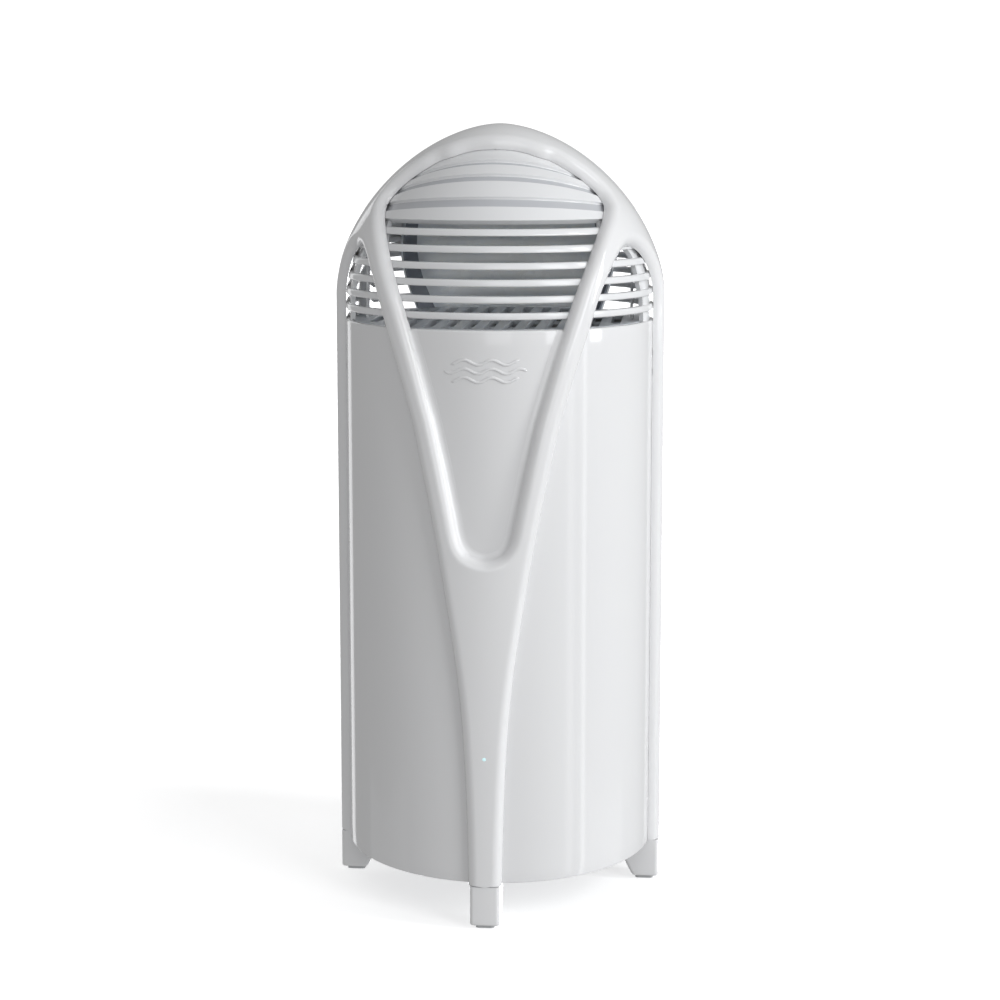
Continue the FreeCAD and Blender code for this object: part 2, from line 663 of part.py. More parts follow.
def terminal_block():
    """The block that takes the mains wires."""
    block = box(-8.0, 8.0, 8.5, 16.0, BOARD_TOP, INLET_HEIGHT + 3.5)
    for x in (-PIN_SPACING / 2, PIN_SPACING / 2):
        block = block.cut(disc(1.8, INLET_HEIGHT + 1.5, FAR, x, 12.2))
    return block


def rear_panel():
    """The flat panel in the rear stem of the frame, which holds the inlet and the switch."""
    panel = box(-PANEL_HALF, PANEL_HALF, PANEL_BACK, PANEL_FACE, UNDER_GAP, PANEL_TOP)

    def upright(edge):
        """The outer upright corners and the outer top edge."""
        extent = edge.BoundBox
        outside = extent.YMin > PANEL_FACE - 0.01
        return outside and extent.ZMax > UNDER_GAP + 1.0

    panel = rounded(panel, 1.5, upright)
    wall_in = PANEL_FACE - PANEL_WALL
    panel = panel.cut(box(-11.6, 11.6, 0.0, wall_in, PANEL_BLOCK_TOP, PANEL_TOP - 2.0))
    gap = FIT_GAP
    for half_x, half_z, height in ((INLET_HALF_X, INLET_HALF_Z, INLET_HEIGHT),
                                   (SWITCH_HALF_X, SWITCH_HALF_Z, SWITCH_HEIGHT)):
        panel = panel.cut(box(-half_x - gap, half_x + gap, 0.0, FAR, height - half_z - gap,
                              height + half_z + gap))
    return panel.cut(disc(1.0, 0.0, PANEL_BLOCK_TOP + 1.0, 0.0, FOOT_SCREW_AT))


def stadium(half_x, half_z, y0, y1, z):
    """A block along Y with half-round ends, wider than it is high."""
    flat = half_x - half_z
    middle = box(-flat, flat, y0, y1, z - half_z, z + half_z)
    return fused([middle, rod_y(half_z, y0, y1, -flat, z), rod_y(half_z, y0, y1, flat, z)])


def inlet_socket():
    """The two-pin mains inlet."""
    z = INLET_HEIGHT
    body = box(-INLET_HALF_X, INLET_HALF_X, INLET_BACK, INSERT_FACE, z - INLET_HALF_Z, z + INLET_HALF_Z)
    wall_in = PANEL_FACE - PANEL_WALL
    lip_x = INLET_HALF_X + CLIP_LIP
    lip_z = INLET_HALF_Z + CLIP_LIP
    lip = box(-lip_x, lip_x, wall_in - CLIP_THICK, wall_in - 0.05, z - lip_z, z + lip_z)
    cavity = stadium(INLET_CAVITY_X, INLET_CAVITY_Z, INSERT_FACE - INLET_DEPTH, FAR, z)
    socket = fused([body, lip]).cut(cavity)
    for x in (-PIN_SPACING / 2, PIN_SPACING / 2):
        socket = socket.cut(rod_y(PIN_RADIUS + 0.02, 0.0, FAR, x, z))
    return socket


def inlet_pins():
    """The two contact pins of the inlet."""
    pins = []
    for x in (-PIN_SPACING / 2, PIN_SPACING / 2):
        pins.append(rod_y(PIN_RADIUS, INLET_BACK - 2.0, INSERT_FACE - 2.2, x, INLET_HEIGHT))
    return Part.makeCompound(pins)


def switch_case():
    """The case of the rocker switch, open at the front, with bearings for the rocker."""
    z = SWITCH_HEIGHT
    body = box(-SWITCH_HALF_X, SWITCH_HALF_X, SWITCH_BACK, INSERT_FACE, z - SWITCH_HALF_Z, z + SWITCH_HALF_Z)
    wall_in = PANEL_FACE - PANEL_WALL
    lip_x = SWITCH_HALF_X + CLIP_LIP
    lip_z = SWITCH_HALF_Z + CLIP_LIP
    lip = box(-lip_x, lip_x, wall_in - CLIP_THICK, wall_in - 0.05, z - lip_z, z + lip_z)
    half = ROCKER_RADIUS + ROCKER_GAP
    side = ROCKER_HALF_X + ROCKER_GAP
    cavity = box(-side, side, SWITCH_BACK + 2.5, FAR, z - half, z + half)
    case = fused([body, lip]).cut(cavity)
    reach = ROCKER_HALF_X + PIVOT_LENGTH + 0.1
    bore = Part.makeCylinder(PIVOT_RADIUS + PIVOT_FIT, 2 * reach, Vector(-reach, ROCKER_PIVOT_Y, z),
                             Vector(1.0, 0.0, 0.0))
    case = case.cut(bore)
    for x in (-2.2, 2.2):
        case = case.cut(terminal_blade(x, 0.03))
    return case


def terminal_blade(x, extra):
    """One flat contact blade at the back of the switch."""
    z = SWITCH_HEIGHT
    return box(x - 0.4 - extra, x + 0.4 + extra, SWITCH_BACK - 8.0, SWITCH_BACK + 2.0 + extra,
               z - 2.4 - extra, z + 2.4 + extra)


def switch_terminals():
    """The two contact blades of the switch."""
    return Part.makeCompound([terminal_blade(x, 0.0) for x in (-2.2, 2.2)])


def switch_rocker():
    """The rocker in its on position: two faces that meet in a shallow vee, turned on a pin along X."""
    pivot = Vector(-ROCKER_HALF_X, 0.0, 0.0)
    drum = Part.makeCylinder(ROCKER_RADIUS, 2 * ROCKER_HALF_X, pivot, Vector(1.0, 0.0, 0.0))
    drum = drum.cut(box(-FAR, FAR, -FAR, -ROCKER_BACK, -FAR, FAR))
    for side in (1.0, -1.0):
        outside = box(-FAR, FAR, 0.0, FAR, -FAR, FAR)
        outside = outside.common(box(-FAR, FAR, 0.0, FAR, min(0.0, side * FAR), max(0.0, side * FAR)))
        outside.rotate(ORIGIN, Vector(1.0, 0.0, 0.0), -side * ROCKER_TILT)
        outside = moved(outside, 0.0, ROCKER_WAIST, 0.0)
        drum = drum.cut(outside)
    reach = ROCKER_HALF_X + PIVOT_LENGTH
    pin = Part.makeCylinder(PIVOT_RADIUS, 2 * reach, Vector(-reach, 0.0, 0.0), Vector(1.0, 0.0, 0.0))
    rocker = fused([drum, pin])
    rocker.rotate(ORIGIN, Vector(1.0, 0.0, 0.0), ROCKER_TILT)
    return moved(rocker, 0.0, ROCKER_PIVOT_Y, SWITCH_HEIGHT)


def light_pipe():
    """The clear rod that brings the light to the face of the front stem."""
    pipe = rod_y(PIPE_RADIUS, -FRAME_RADIUS + 0.1, -50.0, 0.0, LIGHT_HEIGHT)
    return pipe


def led_holder():
    """The sleeve behind the wall that lines the light pipe up with the lamp."""
    sleeve = rod_y(4.0, -58.0, -46.0, 0.0, LIGHT_HEIGHT).common(disc(SHELL_INNER - 0.1, 0.0, FAR))
    sleeve = sleeve.cut(rod_y(PIPE_RADIUS + 0.05, -70.0, -40.0, 0.0, LIGHT_HEIGHT))
    return sleeve.cut(rod_y(LED_RADIUS + 0.1, -49.9, -40.0, 0.0, LIGHT_HEIGHT))


def status_led():
    """The small lamp."""
    return rod_y(LED_RADIUS, -49.6, -46.0, 0.0, LIGHT_HEIGHT)


def led_board():
    """The small board that carries the lamp."""
    return box(-7.0, 7.0, -46.0, -44.8, LIGHT_HEIGHT - 7.0, LIGHT_HEIGHT + 7.0)


def wire(points, radius):
    """An insulated wire: straight runs joined by tangent arcs."""
    edges = []
    start = points[0]
    for index in range(1, len(points) - 1):
        before = points[index] - points[index - 1]
        after = points[index + 1] - points[index]
        turn = before.getAngle(after)
        cut = 0.45 * min(before.Length, after.Length)
        bend = cut / math.tan(turn / 2)
        enter = points[index] - before.normalize() * cut
        leave = points[index] + after.normalize() * cut
        towards = (leave - points[index]) + (enter - points[index])
        centre = points[index] + towards.normalize() * (bend / math.cos(turn / 2))
        middle = centre - towards.normalize() * bend
        edges.append(Part.makeLine(start, enter))
        edges.append(Part.Arc(enter, middle, leave).toShape())
        start = leave
    edges.append(Part.makeLine(start, points[-1]))
    path = Part.Wire(edges)
    direction = points[1] - points[0]
    ring = Part.Wire(Part.makeCircle(radius, points[0], direction))
    return path.makePipeShell([ring], True, True)


def mains_wires():
    """Two wires from the inlet pins to the terminal block."""
    wires = []
    for x in (-PIN_SPACING / 2, PIN_SPACING / 2):
        wires.append(rod_y(0.9, 16.05, INLET_BACK - 2.05, x, INLET_HEIGHT))
    return Part.makeCompound(wires)


def switch_wires():
    """Two wires from the switch blades down to the board."""
    wires = []
    for x in (-2.2, 2.2):
        points = [Vector(x, SWITCH_BACK - 8.2, SWITCH_HEIGHT), Vector(x, 24.0, SWITCH_HEIGHT - 6.0),
                  Vector(x, 17.4, BOARD_TOP + 0.9)]
        wires.append(wire(points, 0.6))
    return Part.makeCompound(wires)


def heater_leads():
    """Two leads from the board up to the underside of the core."""
    return Part.makeCompound([disc(0.9, BOARD_TOP, CORE_BOTTOM - 0.6, x, -13.0) for x in (-2.5, 2.5)])


def led_wires():
    """Two thin wires from the board to the lamp's board."""
    wires = []
    for x in (-5.0, 5.0):
        points = [Vector(x, -17.0, BOARD_TOP + 0.1), Vector(x, -20.0, 50.0),
                  Vector(x, -44.6, LIGHT_HEIGHT - 2.0)]
        wires.append(wire(points, 0.5))
    return Part.makeCompound(wires)


PARTS = [outer_frame, body_shell, dome_grille, rear_shield, deck_grille, base_plate, foot_screws, core_stand,
         stand_screws, ceramic_core, heater_wires, core_cap_lower, core_cap_upper, insulation_sleeve,
         heat_shield, core_retainer, tie_rods, rod_nuts, thermal_fuse, fuse_clip, control_board, board_screws,
         transformer, capacitors, terminal_block, rear_panel, inlet_socket, inlet_pins, switch_case,
         switch_terminals, switch_rocker, light_pipe, led_holder, status_led, led_board, mains_wires,
         switch_wires, heater_leads, led_wires]

os.makedirs("parts", exist_ok=True)
for make_part in PARTS:
    save(make_part(), make_part.__name__)
for side_name, side_turn in FOOT_TURNS.items():
    save(turned(foot(), side_turn), "foot_" + side_name)
    save(turned(foot_pad(), side_turn), "foot_pad_" + side_name)
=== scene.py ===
"""Looks of a fan-less tabletop air purifier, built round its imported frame.

The object is a white cylinder on four feet under a louvred dome, held in a raised frame that makes a Y at the
front and rear. Everything is in metres, +Z up, with the front towards -Y.
"""

import json
import logging
import math
from dataclasses import dataclass, field
from enum import Enum
from typing import Dict, List, Optional, Sequence, Tuple

import bmesh
import bpy
import numpy as np
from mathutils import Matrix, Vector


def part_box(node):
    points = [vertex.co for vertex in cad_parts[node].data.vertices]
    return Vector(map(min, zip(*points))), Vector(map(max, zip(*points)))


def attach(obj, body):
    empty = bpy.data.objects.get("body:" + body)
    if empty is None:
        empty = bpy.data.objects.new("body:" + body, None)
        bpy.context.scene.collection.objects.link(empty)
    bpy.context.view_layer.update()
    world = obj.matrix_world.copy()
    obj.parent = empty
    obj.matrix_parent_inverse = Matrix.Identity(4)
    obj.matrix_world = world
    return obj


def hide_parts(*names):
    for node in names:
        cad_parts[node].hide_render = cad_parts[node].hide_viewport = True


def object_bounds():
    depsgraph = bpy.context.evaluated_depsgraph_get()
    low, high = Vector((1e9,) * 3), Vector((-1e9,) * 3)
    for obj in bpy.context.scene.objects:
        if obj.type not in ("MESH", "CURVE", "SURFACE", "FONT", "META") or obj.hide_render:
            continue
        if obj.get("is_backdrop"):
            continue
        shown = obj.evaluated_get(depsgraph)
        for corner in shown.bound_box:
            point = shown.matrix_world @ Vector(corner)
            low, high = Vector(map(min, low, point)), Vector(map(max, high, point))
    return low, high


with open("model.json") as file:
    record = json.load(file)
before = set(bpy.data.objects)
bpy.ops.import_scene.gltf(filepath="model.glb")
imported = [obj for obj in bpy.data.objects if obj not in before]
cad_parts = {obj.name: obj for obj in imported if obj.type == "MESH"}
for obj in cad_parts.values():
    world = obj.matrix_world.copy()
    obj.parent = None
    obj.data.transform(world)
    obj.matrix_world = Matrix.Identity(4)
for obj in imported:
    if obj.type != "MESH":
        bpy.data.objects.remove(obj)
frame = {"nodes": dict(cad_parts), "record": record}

Array = np.ndarray
MM = 0.001
LOG = logging.getLogger("purifier")


# ---------------------------------------------------------------------------------------------- surfaces

class Envelope:
    """The outer surface: an upright cylinder that closes in a superelliptic dome.

    A point is given by its azimuth, 0 at the front and growing to the right, and by its drop, the distance
    along the surface down from the crown.
    """

    def __init__(self, radius: float, spring: float, top: float, power: float) -> None:
        """Tabulate one meridian.

        Args:
            radius: Radius of the cylinder.
            spring: Height where the dome begins.
            top: Height of the crown.
            power: Exponent of the superellipse.
        """
        angle = np.linspace(0.5 * math.pi, 0.0, 6001)
        rise = top - spring
        across = radius * np.clip(np.cos(angle), 0.0, 1.0) ** (2.0 / power)
        up = rise * np.clip(np.sin(angle), 0.0, 1.0) ** (2.0 / power)
        step = np.hypot(np.diff(across), np.diff(up))
        slope_r = (across / radius) ** (power - 1.0) / radius
        slope_z = (up / rise) ** (power - 1.0) / rise
        size = np.hypot(slope_r, slope_z)
        dome_drop = np.concatenate([[0.0], np.cumsum(step)])
        self.radius = radius
        self.dome_length = float(dome_drop[-1])
        self.drop = np.append(dome_drop, self.dome_length + spring)
        self.across = np.append(across, radius)
        self.height = np.append(spring + up, 0.0)
        self.normal_r = np.append(slope_r / size, 1.0)
        self.normal_z = np.append(slope_z / size, 0.0)

    def drop_at_height(self, height: Array, inset: float = 0.0) -> Array:
        """Drop of the points whose height, at a depth of inset under the surface, is the one given."""
        level = self.height - inset * self.normal_z
        return np.interp(-np.asarray(height, float), -level, self.drop)

    def drop_at_radius(self, radius: Array, inset: float = 0.0) -> Array:
        """Drop of the dome's points whose distance from the axis, at a depth of inset, is the one given."""
        count = len(self.drop) - 1
        reach = (self.across - inset * self.normal_r)[:count]
        return np.interp(radius, reach, self.drop[:count])

    def meridian(self, drop: Array, inset: Array) -> Tuple[Array, Array]:
        """Distance from the axis and height at a drop and a depth of inset under the surface."""
        reach = np.interp(drop, self.drop, self.across) - inset * np.interp(drop, self.drop, self.normal_r)
        level = np.interp(drop, self.drop, self.height) - inset * np.interp(drop, self.drop, self.normal_z)
        return reach, level

    def point(self, azimuth: Array, drop: Array, inset: Array) -> Array:
        """Place points in space: the meridian's point less inset times its normal, turned by the azimuth.

        Args:
            azimuth: Angles in radians.
            drop: Distances down from the crown.
            inset: Depths under the surface.

        Returns:
            An array with a last axis of three.
        """
        reach, level = self.meridian(drop, inset)
        return np.stack([reach * np.sin(azimuth), -reach * np.cos(azimuth), level], axis=-1)

    @staticmethod
    def chart(azimuth: Array, drop: Array) -> Array:
        """Flatten points: the drop is the distance from the chart's centre, the azimuth the direction."""
        return np.stack([drop * np.sin(azimuth), -drop * np.cos(azimuth)], axis=-1)

    def lifted(self, chart: Array, inset: Array) -> Array:
        """Put chart points back in space at a depth of inset."""
        drop = np.hypot(chart[..., 0], chart[..., 1])
        azimuth = np.arctan2(chart[..., 0], -chart[..., 1])
        return self.point(azimuth, drop, inset)


def spline(points: Array, count: int, first: int = 0, last: int = -1) -> Array:
    """Smooth curve through points: a natural cubic in the length of the chords.

    Args:
        points: Control points, one a row.
        count: How many points to return.
        first: Index of the control point where the returned stretch starts.
        last: Index of the control point where it ends.

    Returns:
        The curve's points, evenly spaced in chord length.
    """
    points = np.asarray(points, float)
    knots = np.concatenate([[0.0], np.cumsum(np.linalg.norm(np.diff(points, axis=0), axis=1))])
    gap = np.diff(knots)
    size = len(points)
    matrix = np.zeros((size, size))
    right = np.zeros_like(points)
    matrix[0, 0] = matrix[-1, -1] = 1.0
    inner = np.arange(1, size - 1)
    matrix[inner, inner - 1] = gap[:-1]
    matrix[inner, inner] = 2.0 * (gap[:-1] + gap[1:])
    matrix[inner, inner + 1] = gap[1:]
    rate = np.diff(points, axis=0) / gap[:, None]
    right[inner] = 6.0 * np.diff(rate, axis=0)
    bend = np.linalg.solve(matrix, right)
    where = np.linspace(knots[first], knots[last], count)
    cell = np.clip(np.searchsorted(knots, where, side="right") - 1, 0, size - 2)
    span = gap[cell][:, None]
    before = (where - knots[cell])[:, None]
    after = span - before
    cubic = (bend[cell] * after ** 3 + bend[cell + 1] * before ** 3) / (6.0 * span)
    low = (points[cell] / span - bend[cell] * span / 6.0) * after
    high = (points[cell + 1] / span - bend[cell + 1] * span / 6.0) * before
    return cubic + low + high


def resampled(curve: Array, where: Array) -> Array:
    """Points of a polyline at fractions of its length, by linear interpolation."""
    length = np.concatenate([[0.0], np.cumsum(np.linalg.norm(np.diff(curve, axis=0), axis=1))])
    at = np.asarray(where) * length[-1]
    return np.stack([np.interp(at, length, curve[:, axis]) for axis in range(curve.shape[1])], axis=-1)


def distance_to(points: Array, line: Array) -> Array:
    """Distance from each point to a polyline in space.

    The nearest of the line's points is found first, then the two pieces that meet there are measured.
    """
    flat = points.reshape(-1, 3)
    squared = (flat ** 2).sum(1)[:, None] + (line ** 2).sum(1)[None, :] - 2.0 * flat @ line.T
    nearest = squared.argmin(1)
    best = np.full(len(flat), np.inf)
    for shift in (-1, 0):
        start = np.clip(nearest + shift, 0, len(line) - 2)
        origin = line[start]
        along = line[start + 1] - origin
        part = ((flat - origin) * along).sum(1) / np.maximum((along ** 2).sum(1), 1e-18)
        foot = origin + along * np.clip(part, 0.0, 1.0)[:, None]
        best = np.minimum(best, np.linalg.norm(flat - foot, axis=1))
    return best.reshape(points.shape[:-1])


def ease(count: int, ends: Tuple[bool, bool]) -> Array:
    """Fractions from 0 to 1 that crowd towards the ends that are asked for, as a cosine does."""
    even = np.linspace(0.0, 1.0, count)
    if ends == (True, True):
        return 0.5 * (1.0 - np.cos(math.pi * even))
    if ends == (False, True):
        return np.sin(0.5 * math.pi * even)
    if ends == (True, False):
        return 1.0 - np.cos(0.5 * math.pi * even)
    return even


# ------------------------------------------------------------------------------------------------ meshes

class Surface:
    """Collects grids of points and turns them into one mesh object."""

    def __init__(self) -> None:
        """Start with no points."""
        self.points: List[Array] = []
        self.faces: List[Array] = []
        self.count = 0

    def grid(self, points: Array, around: bool = False, along: bool = False) -> "Surface":
        """Add a grid of four-sided faces.

        Args:
            points: Array of shape rows, columns, 3.
            around: Join the last column to the first.
            along: Join the last row to the first.

        Returns:
            This surface, so that calls can be chained.
        """
        rows, columns = points.shape[:2]
        index = self.count + np.arange(rows * columns).reshape(rows, columns)
        if around:
            index = np.concatenate([index, index[:, :1]], axis=1)
        if along:
            index = np.concatenate([index, index[:1]], axis=0)
        corner = [index[:-1, :-1], index[:-1, 1:], index[1:, 1:], index[1:, :-1]]
        self.points.append(points.reshape(-1, 3))
        self.faces.append(np.stack(corner, axis=-1).reshape(-1, 4))
        self.count += rows * columns
        return self

    def slab(self, top: Array, bottom: Array) -> "Surface":
        """Add a closed sheet with thickness: two grids of the same shape and the strips that join them."""
        self.grid(top).grid(bottom)
        for end in (0, -1):
            self.grid(np.stack([top[end], bottom[end]])).grid(np.stack([top[:, end], bottom[:, end]]))
        return self

    def cap(self, loop: Array) -> "Surface":
        """Close a loop of points with a fan to its middle."""
        return self.grid(np.stack([loop, np.broadcast_to(loop.mean(0), loop.shape)]), around=True)

    def mirrored(self, axis: int) -> "Surface":
        """Add a mirror image of everything so far."""
        points = np.concatenate(self.points)
        faces = np.concatenate(self.faces)
        flipped = points.copy()
        flipped[:, axis] *= -1.0
        self.points.append(flipped)
        self.faces.append(faces[:, ::-1] + self.count)
        self.count *= 2
        return self

    def piece(self, name: str, sharp: float = 40.0, merge: float = 2e-6) -> bpy.types.Object:
        """Make the mesh object, with doubles merged and faces turned outwards.

        Args:
            name: Name of the piece.
            sharp: Edges that turn by more degrees than this stay sharp.
            merge: Points nearer than this become one.

        Returns:
            The new object, at the origin.
        """
        mesh = bpy.data.meshes.new(name)
        mesh.from_pydata(np.concatenate(self.points).tolist(), [], np.concatenate(self.faces).tolist())
        work = bmesh.new()
        work.from_mesh(mesh)
        bmesh.ops.remove_doubles(work, verts=work.verts, dist=merge)
        bmesh.ops.dissolve_degenerate(work, dist=merge * 0.5, edges=work.edges)
        bmesh.ops.recalc_face_normals(work, faces=work.faces)
        work.to_mesh(mesh)
        work.free()
        shade(mesh, sharp)
        made = bpy.data.objects.new(name, mesh)
        bpy.context.scene.collection.objects.link(made)
        return made


def shade(mesh: bpy.types.Mesh, sharp: float) -> None:
    """Shade a mesh smooth and keep the edges sharp where two faces turn by more than sharp degrees."""
    mesh.polygons.foreach_set("use_smooth", np.ones(len(mesh.polygons), bool))
    normals = np.empty(len(mesh.polygons) * 3)
    mesh.polygons.foreach_get("normal", normals)
    normals = normals.reshape(-1, 3)
    edge = np.empty(len(mesh.loops), int)
    mesh.loops.foreach_get("edge_index", edge)
    total = np.empty(len(mesh.polygons), int)
    mesh.polygons.foreach_get("loop_total", total)
    owner = np.repeat(np.arange(len(total)), total)
    order = np.argsort(edge, kind="stable")
    same = edge[order][1:] == edge[order][:-1]
    first, second = owner[order][:-1][same], owner[order][1:][same]
    turn = (normals[first] * normals[second]).sum(1)
    flags = np.zeros(len(mesh.edges), bool)
    flags[edge[order][:-1][same]] = turn < math.cos(math.radians(sharp))
    attribute = mesh.attributes.get("sharp_edge") or mesh.attributes.new("sharp_edge", "BOOLEAN", "EDGE")
    attribute.data.foreach_set("value", flags)
    mesh.update()


def turned_ring(profile: Array, segments: int) -> Array:
    """A closed profile of (radius, height) pairs swept round the axis, as a grid that closes both ways."""
    angle = np.linspace(0.0, 2.0 * math.pi, segments, endpoint=False)[:, None]
    radius, height = profile[None, :, 0], profile[None, :, 1]
    return np.stack([radius * np.sin(angle), -radius * np.cos(angle), height + 0.0 * angle], axis=-1)


def rounded_outline(half_x: float, half_y: float, corner: float, steps: int = 7) -> Array:
    """A rectangle with round corners, as (x, y) points that run anticlockwise."""
    quarter = np.linspace(0.0, 0.5 * math.pi, steps)
    corners = []
    for turn, (sign_x, sign_y) in enumerate(((1, 1), (-1, 1), (-1, -1), (1, -1))):
        angle = quarter + 0.5 * math.pi * turn
        x = sign_x * (half_x - corner) + corner * np.cos(angle)
        y = sign_y * (half_y - corner) + corner * np.sin(angle)
        corners.append(np.stack([x, y], axis=-1))
    return np.concatenate(corners)


# --------------------------------------------------------------------------------------------- materials

class Slot(Enum):
    """The record's material slots that pieces take their finishes from."""

    WHITE = "white_shell"
    GREY = "grey_inner"
    RUBBER = "pad_rubber"
    STEEL = "screw_steel"
    CERAMIC = "core_ceramic"
    HEATER = "heater_alloy"
    WOOL = "mineral_wool"
    ALUMINIUM = "shield_aluminium"
    BRASS = "contact_brass"
    BOARD = "board_green"
    COMPONENT = "component_dark"
    BLACK = "black_plastic"
    WIRE = "wire_skin"
    LIGHT = "light_clear"
    LAMP = "lamp_cyan"


class Graph:
    """Adds nodes to a node tree."""

    def __init__(self, tree: bpy.types.NodeTree, empty: bool = True) -> None:
        """Take a tree, and clear it unless it is to be added to."""
        if empty:
            tree.nodes.clear()
        self.tree = tree

    def add(self, kind: str, values: Optional[Dict[str, object]] = None, **settings: object) -> bpy.types.Node:
        """Add a node.

        Args:
            kind: The shader node's type.
            values: Values of its inputs, by name.
            settings: Its own settings, such as an operation.
        """
        node = self.tree.nodes.new("ShaderNode" + kind)
        for name, value in settings.items():
            setattr(node, name, value)
        for name, value in (values or {}).items():
            node.inputs[name].default_value = value
        return node

    def join(self, source: bpy.types.Node, output: str, target: bpy.types.Node, into: str) -> None:
        """Link an output of one node to an input of another."""
        self.tree.links.new(source.outputs[output], target.inputs[into])

    def noise(self, mapping: bpy.types.Node, scale: float, detail: float) -> bpy.types.Node:
        """Add a noise texture that reads the mapped coordinates."""
        noise = self.add("TexNoise", {"Scale": scale, "Detail": detail})
        self.join(mapping, "Vector", noise, "Vector")
        return noise


@dataclass(frozen=True)
class Finish:
    """A moulded, metal or ceramic finish worked out from noise on Object coordinates.

    The colour drifts between two tones with a broad noise, the roughness varies by spread with a middle-sized
    noise, and a fine noise gives the bump of the mould's texture.
    """

    name: str
    colour: Tuple[float, float, float]
    drift: Tuple[float, float, float]
    roughness: float
    spread: float = 0.04
    metallic: float = 0.0
    coat: float = 0.0
    broad: float = 25.0
    grain: float = 900.0
    bump: float = 0.02
    depth: float = 0.0002
    stretch: Tuple[float, float, float] = (1.0, 1.0, 1.0)
    subsurface: float = 0.0
    glow: float = 0.0

    def material(self) -> bpy.types.Material:
        """Make the node material, or return it when it has been made before."""
        known = bpy.data.materials.get(self.name)
        if known is not None:
            return known
        made = bpy.data.materials.new(self.name)
        made.use_nodes = True
        graph = Graph(made.node_tree)
        output = graph.add("OutputMaterial")
        shader = graph.add("BsdfPrincipled", {
            "Metallic": self.metallic, "Coat Weight": self.coat, "Coat Roughness": 0.05,
            "Subsurface Weight": self.subsurface, "Subsurface Radius": (0.003, 0.0028, 0.0025),
            "Subsurface Scale": 1.0})
        if self.glow > 0.0:
            shader.inputs["Emission Color"].default_value = (*self.colour, 1.0)
            shader.inputs["Emission Strength"].default_value = self.glow
        place = graph.add("TexCoord")
        mapping = graph.add("Mapping", {"Scale": self.stretch})
        tones = graph.add("Mix", {"A": (*self.colour, 1.0), "B": (*self.drift, 1.0)}, data_type="RGBA")
        spread = graph.add("MapRange", {
            "From Min": 0.3, "From Max": 0.7, "To Min": max(self.roughness - self.spread, 0.02),
            "To Max": min(self.roughness + self.spread, 1.0)})
        bump = graph.add("Bump", {"Strength": self.bump, "Distance": self.depth})
        graph.join(shader, "BSDF", output, "Surface")
        graph.join(place, "Object", mapping, "Vector")
        graph.join(graph.noise(mapping, self.broad, 3.0), "Fac", tones, "Factor")
        graph.join(tones, "Result", shader, "Base Color")
        graph.join(graph.noise(mapping, self.broad * 6.0, 4.0), "Fac", spread, "Value")
        graph.join(spread, "Result", shader, "Roughness")
        graph.join(graph.noise(mapping, self.grain, 2.0), "Fac", bump, "Height")
        graph.join(bump, "Normal", shader, "Normal")
        return made


WHITE_FRAME = Finish("gloss_white_frame", (0.83, 0.83, 0.835), (0.81, 0.81, 0.82), 0.08, 0.02, bump=0.008,
                     subsurface=0.04)
WHITE_BODY = Finish("gloss_white_body", (0.80, 0.80, 0.805), (0.78, 0.78, 0.79), 0.10, 0.02, bump=0.008,
                    subsurface=0.04)
WHITE_DOME = Finish("gloss_white_dome", (0.81, 0.815, 0.825), (0.79, 0.795, 0.805), 0.12, 0.03, bump=0.01,
                    subsurface=0.04)
# Grey for the sheets on the sunk band floors: painted shade in the recesses, on what is the dome's white plastic
BAND_PAINTED_SHADE = Finish("painted_shade_sunk_band", (0.54, 0.55, 0.57), (0.50, 0.51, 0.54), 0.12, 0.03, bump=0.01,
                    subsurface=0.04)
# Dark grey for the strips behind the rear shield's edges: painted shade where the rear arms' inner sides lie in
# shadow
SHIELD_EDGE_SHADE = Finish("painted_shade_shield_edge", (0.26, 0.28, 0.32), (0.22, 0.24, 0.28), 0.4, 0.06, grain=1400.0,
                     bump=0.06)
GREY_DECK = Finish("satin_grey_deck", (0.86, 0.89, 0.92), (0.82, 0.85, 0.89), 0.35, 0.06, grain=1400.0,
                   bump=0.08)
GREY_SHIELD = Finish("milky_grey_shield", (0.86, 0.91, 0.96), (0.83, 0.88, 0.94), 0.25, 0.05, grain=1400.0,
                     bump=0.03, subsurface=0.6)
GREY_BASE = Finish("satin_grey_base", (0.30, 0.31, 0.33), (0.26, 0.27, 0.29), 0.5, 0.06, grain=1500.0,
                   bump=0.12)
RUBBER = Finish("pale_rubber", (0.52, 0.53, 0.54), (0.47, 0.48, 0.49), 0.7, 0.08, grain=2200.0, bump=0.2)
STEEL = Finish("zinc_steel", (0.56, 0.56, 0.55), (0.62, 0.61, 0.58), 0.33, 0.08, metallic=1.0, bump=0.06,
               stretch=(1.0, 1.0, 5.0))
CERAMIC = Finish("fired_ceramic", (0.80, 0.76, 0.68), (0.72, 0.67, 0.58), 0.68, 0.08, grain=1800.0, bump=0.3)
HEATER = Finish("heater_wire", (0.32, 0.27, 0.23), (0.42, 0.30, 0.24), 0.45, 0.1, metallic=1.0)
WOOL = Finish("mineral_wool", (0.62, 0.58, 0.48), (0.70, 0.66, 0.56), 0.95, 0.04, grain=700.0, bump=0.8,
              depth=0.0008)
ALUMINIUM = Finish("rolled_aluminium", (0.74, 0.75, 0.76), (0.68, 0.69, 0.71), 0.28, 0.08, metallic=1.0,
                   grain=600.0, bump=0.06, stretch=(8.0, 8.0, 0.6))
BRASS = Finish("nickelled_brass", (0.70, 0.58, 0.36), (0.62, 0.50, 0.30), 0.25, 0.06, metallic=1.0)
BOARD = Finish("solder_mask", (0.02, 0.16, 0.08), (0.03, 0.20, 0.10), 0.35, 0.06, coat=0.4, grain=1200.0,
               bump=0.06)
COMPONENT = Finish("moulded_component", (0.05, 0.05, 0.06), (0.08, 0.08, 0.09), 0.45, 0.08, grain=1600.0,
                   bump=0.12)
BLACK = Finish("textured_black", (0.018, 0.018, 0.02), (0.03, 0.03, 0.032), 0.38, 0.06, grain=1700.0,
               bump=0.15)
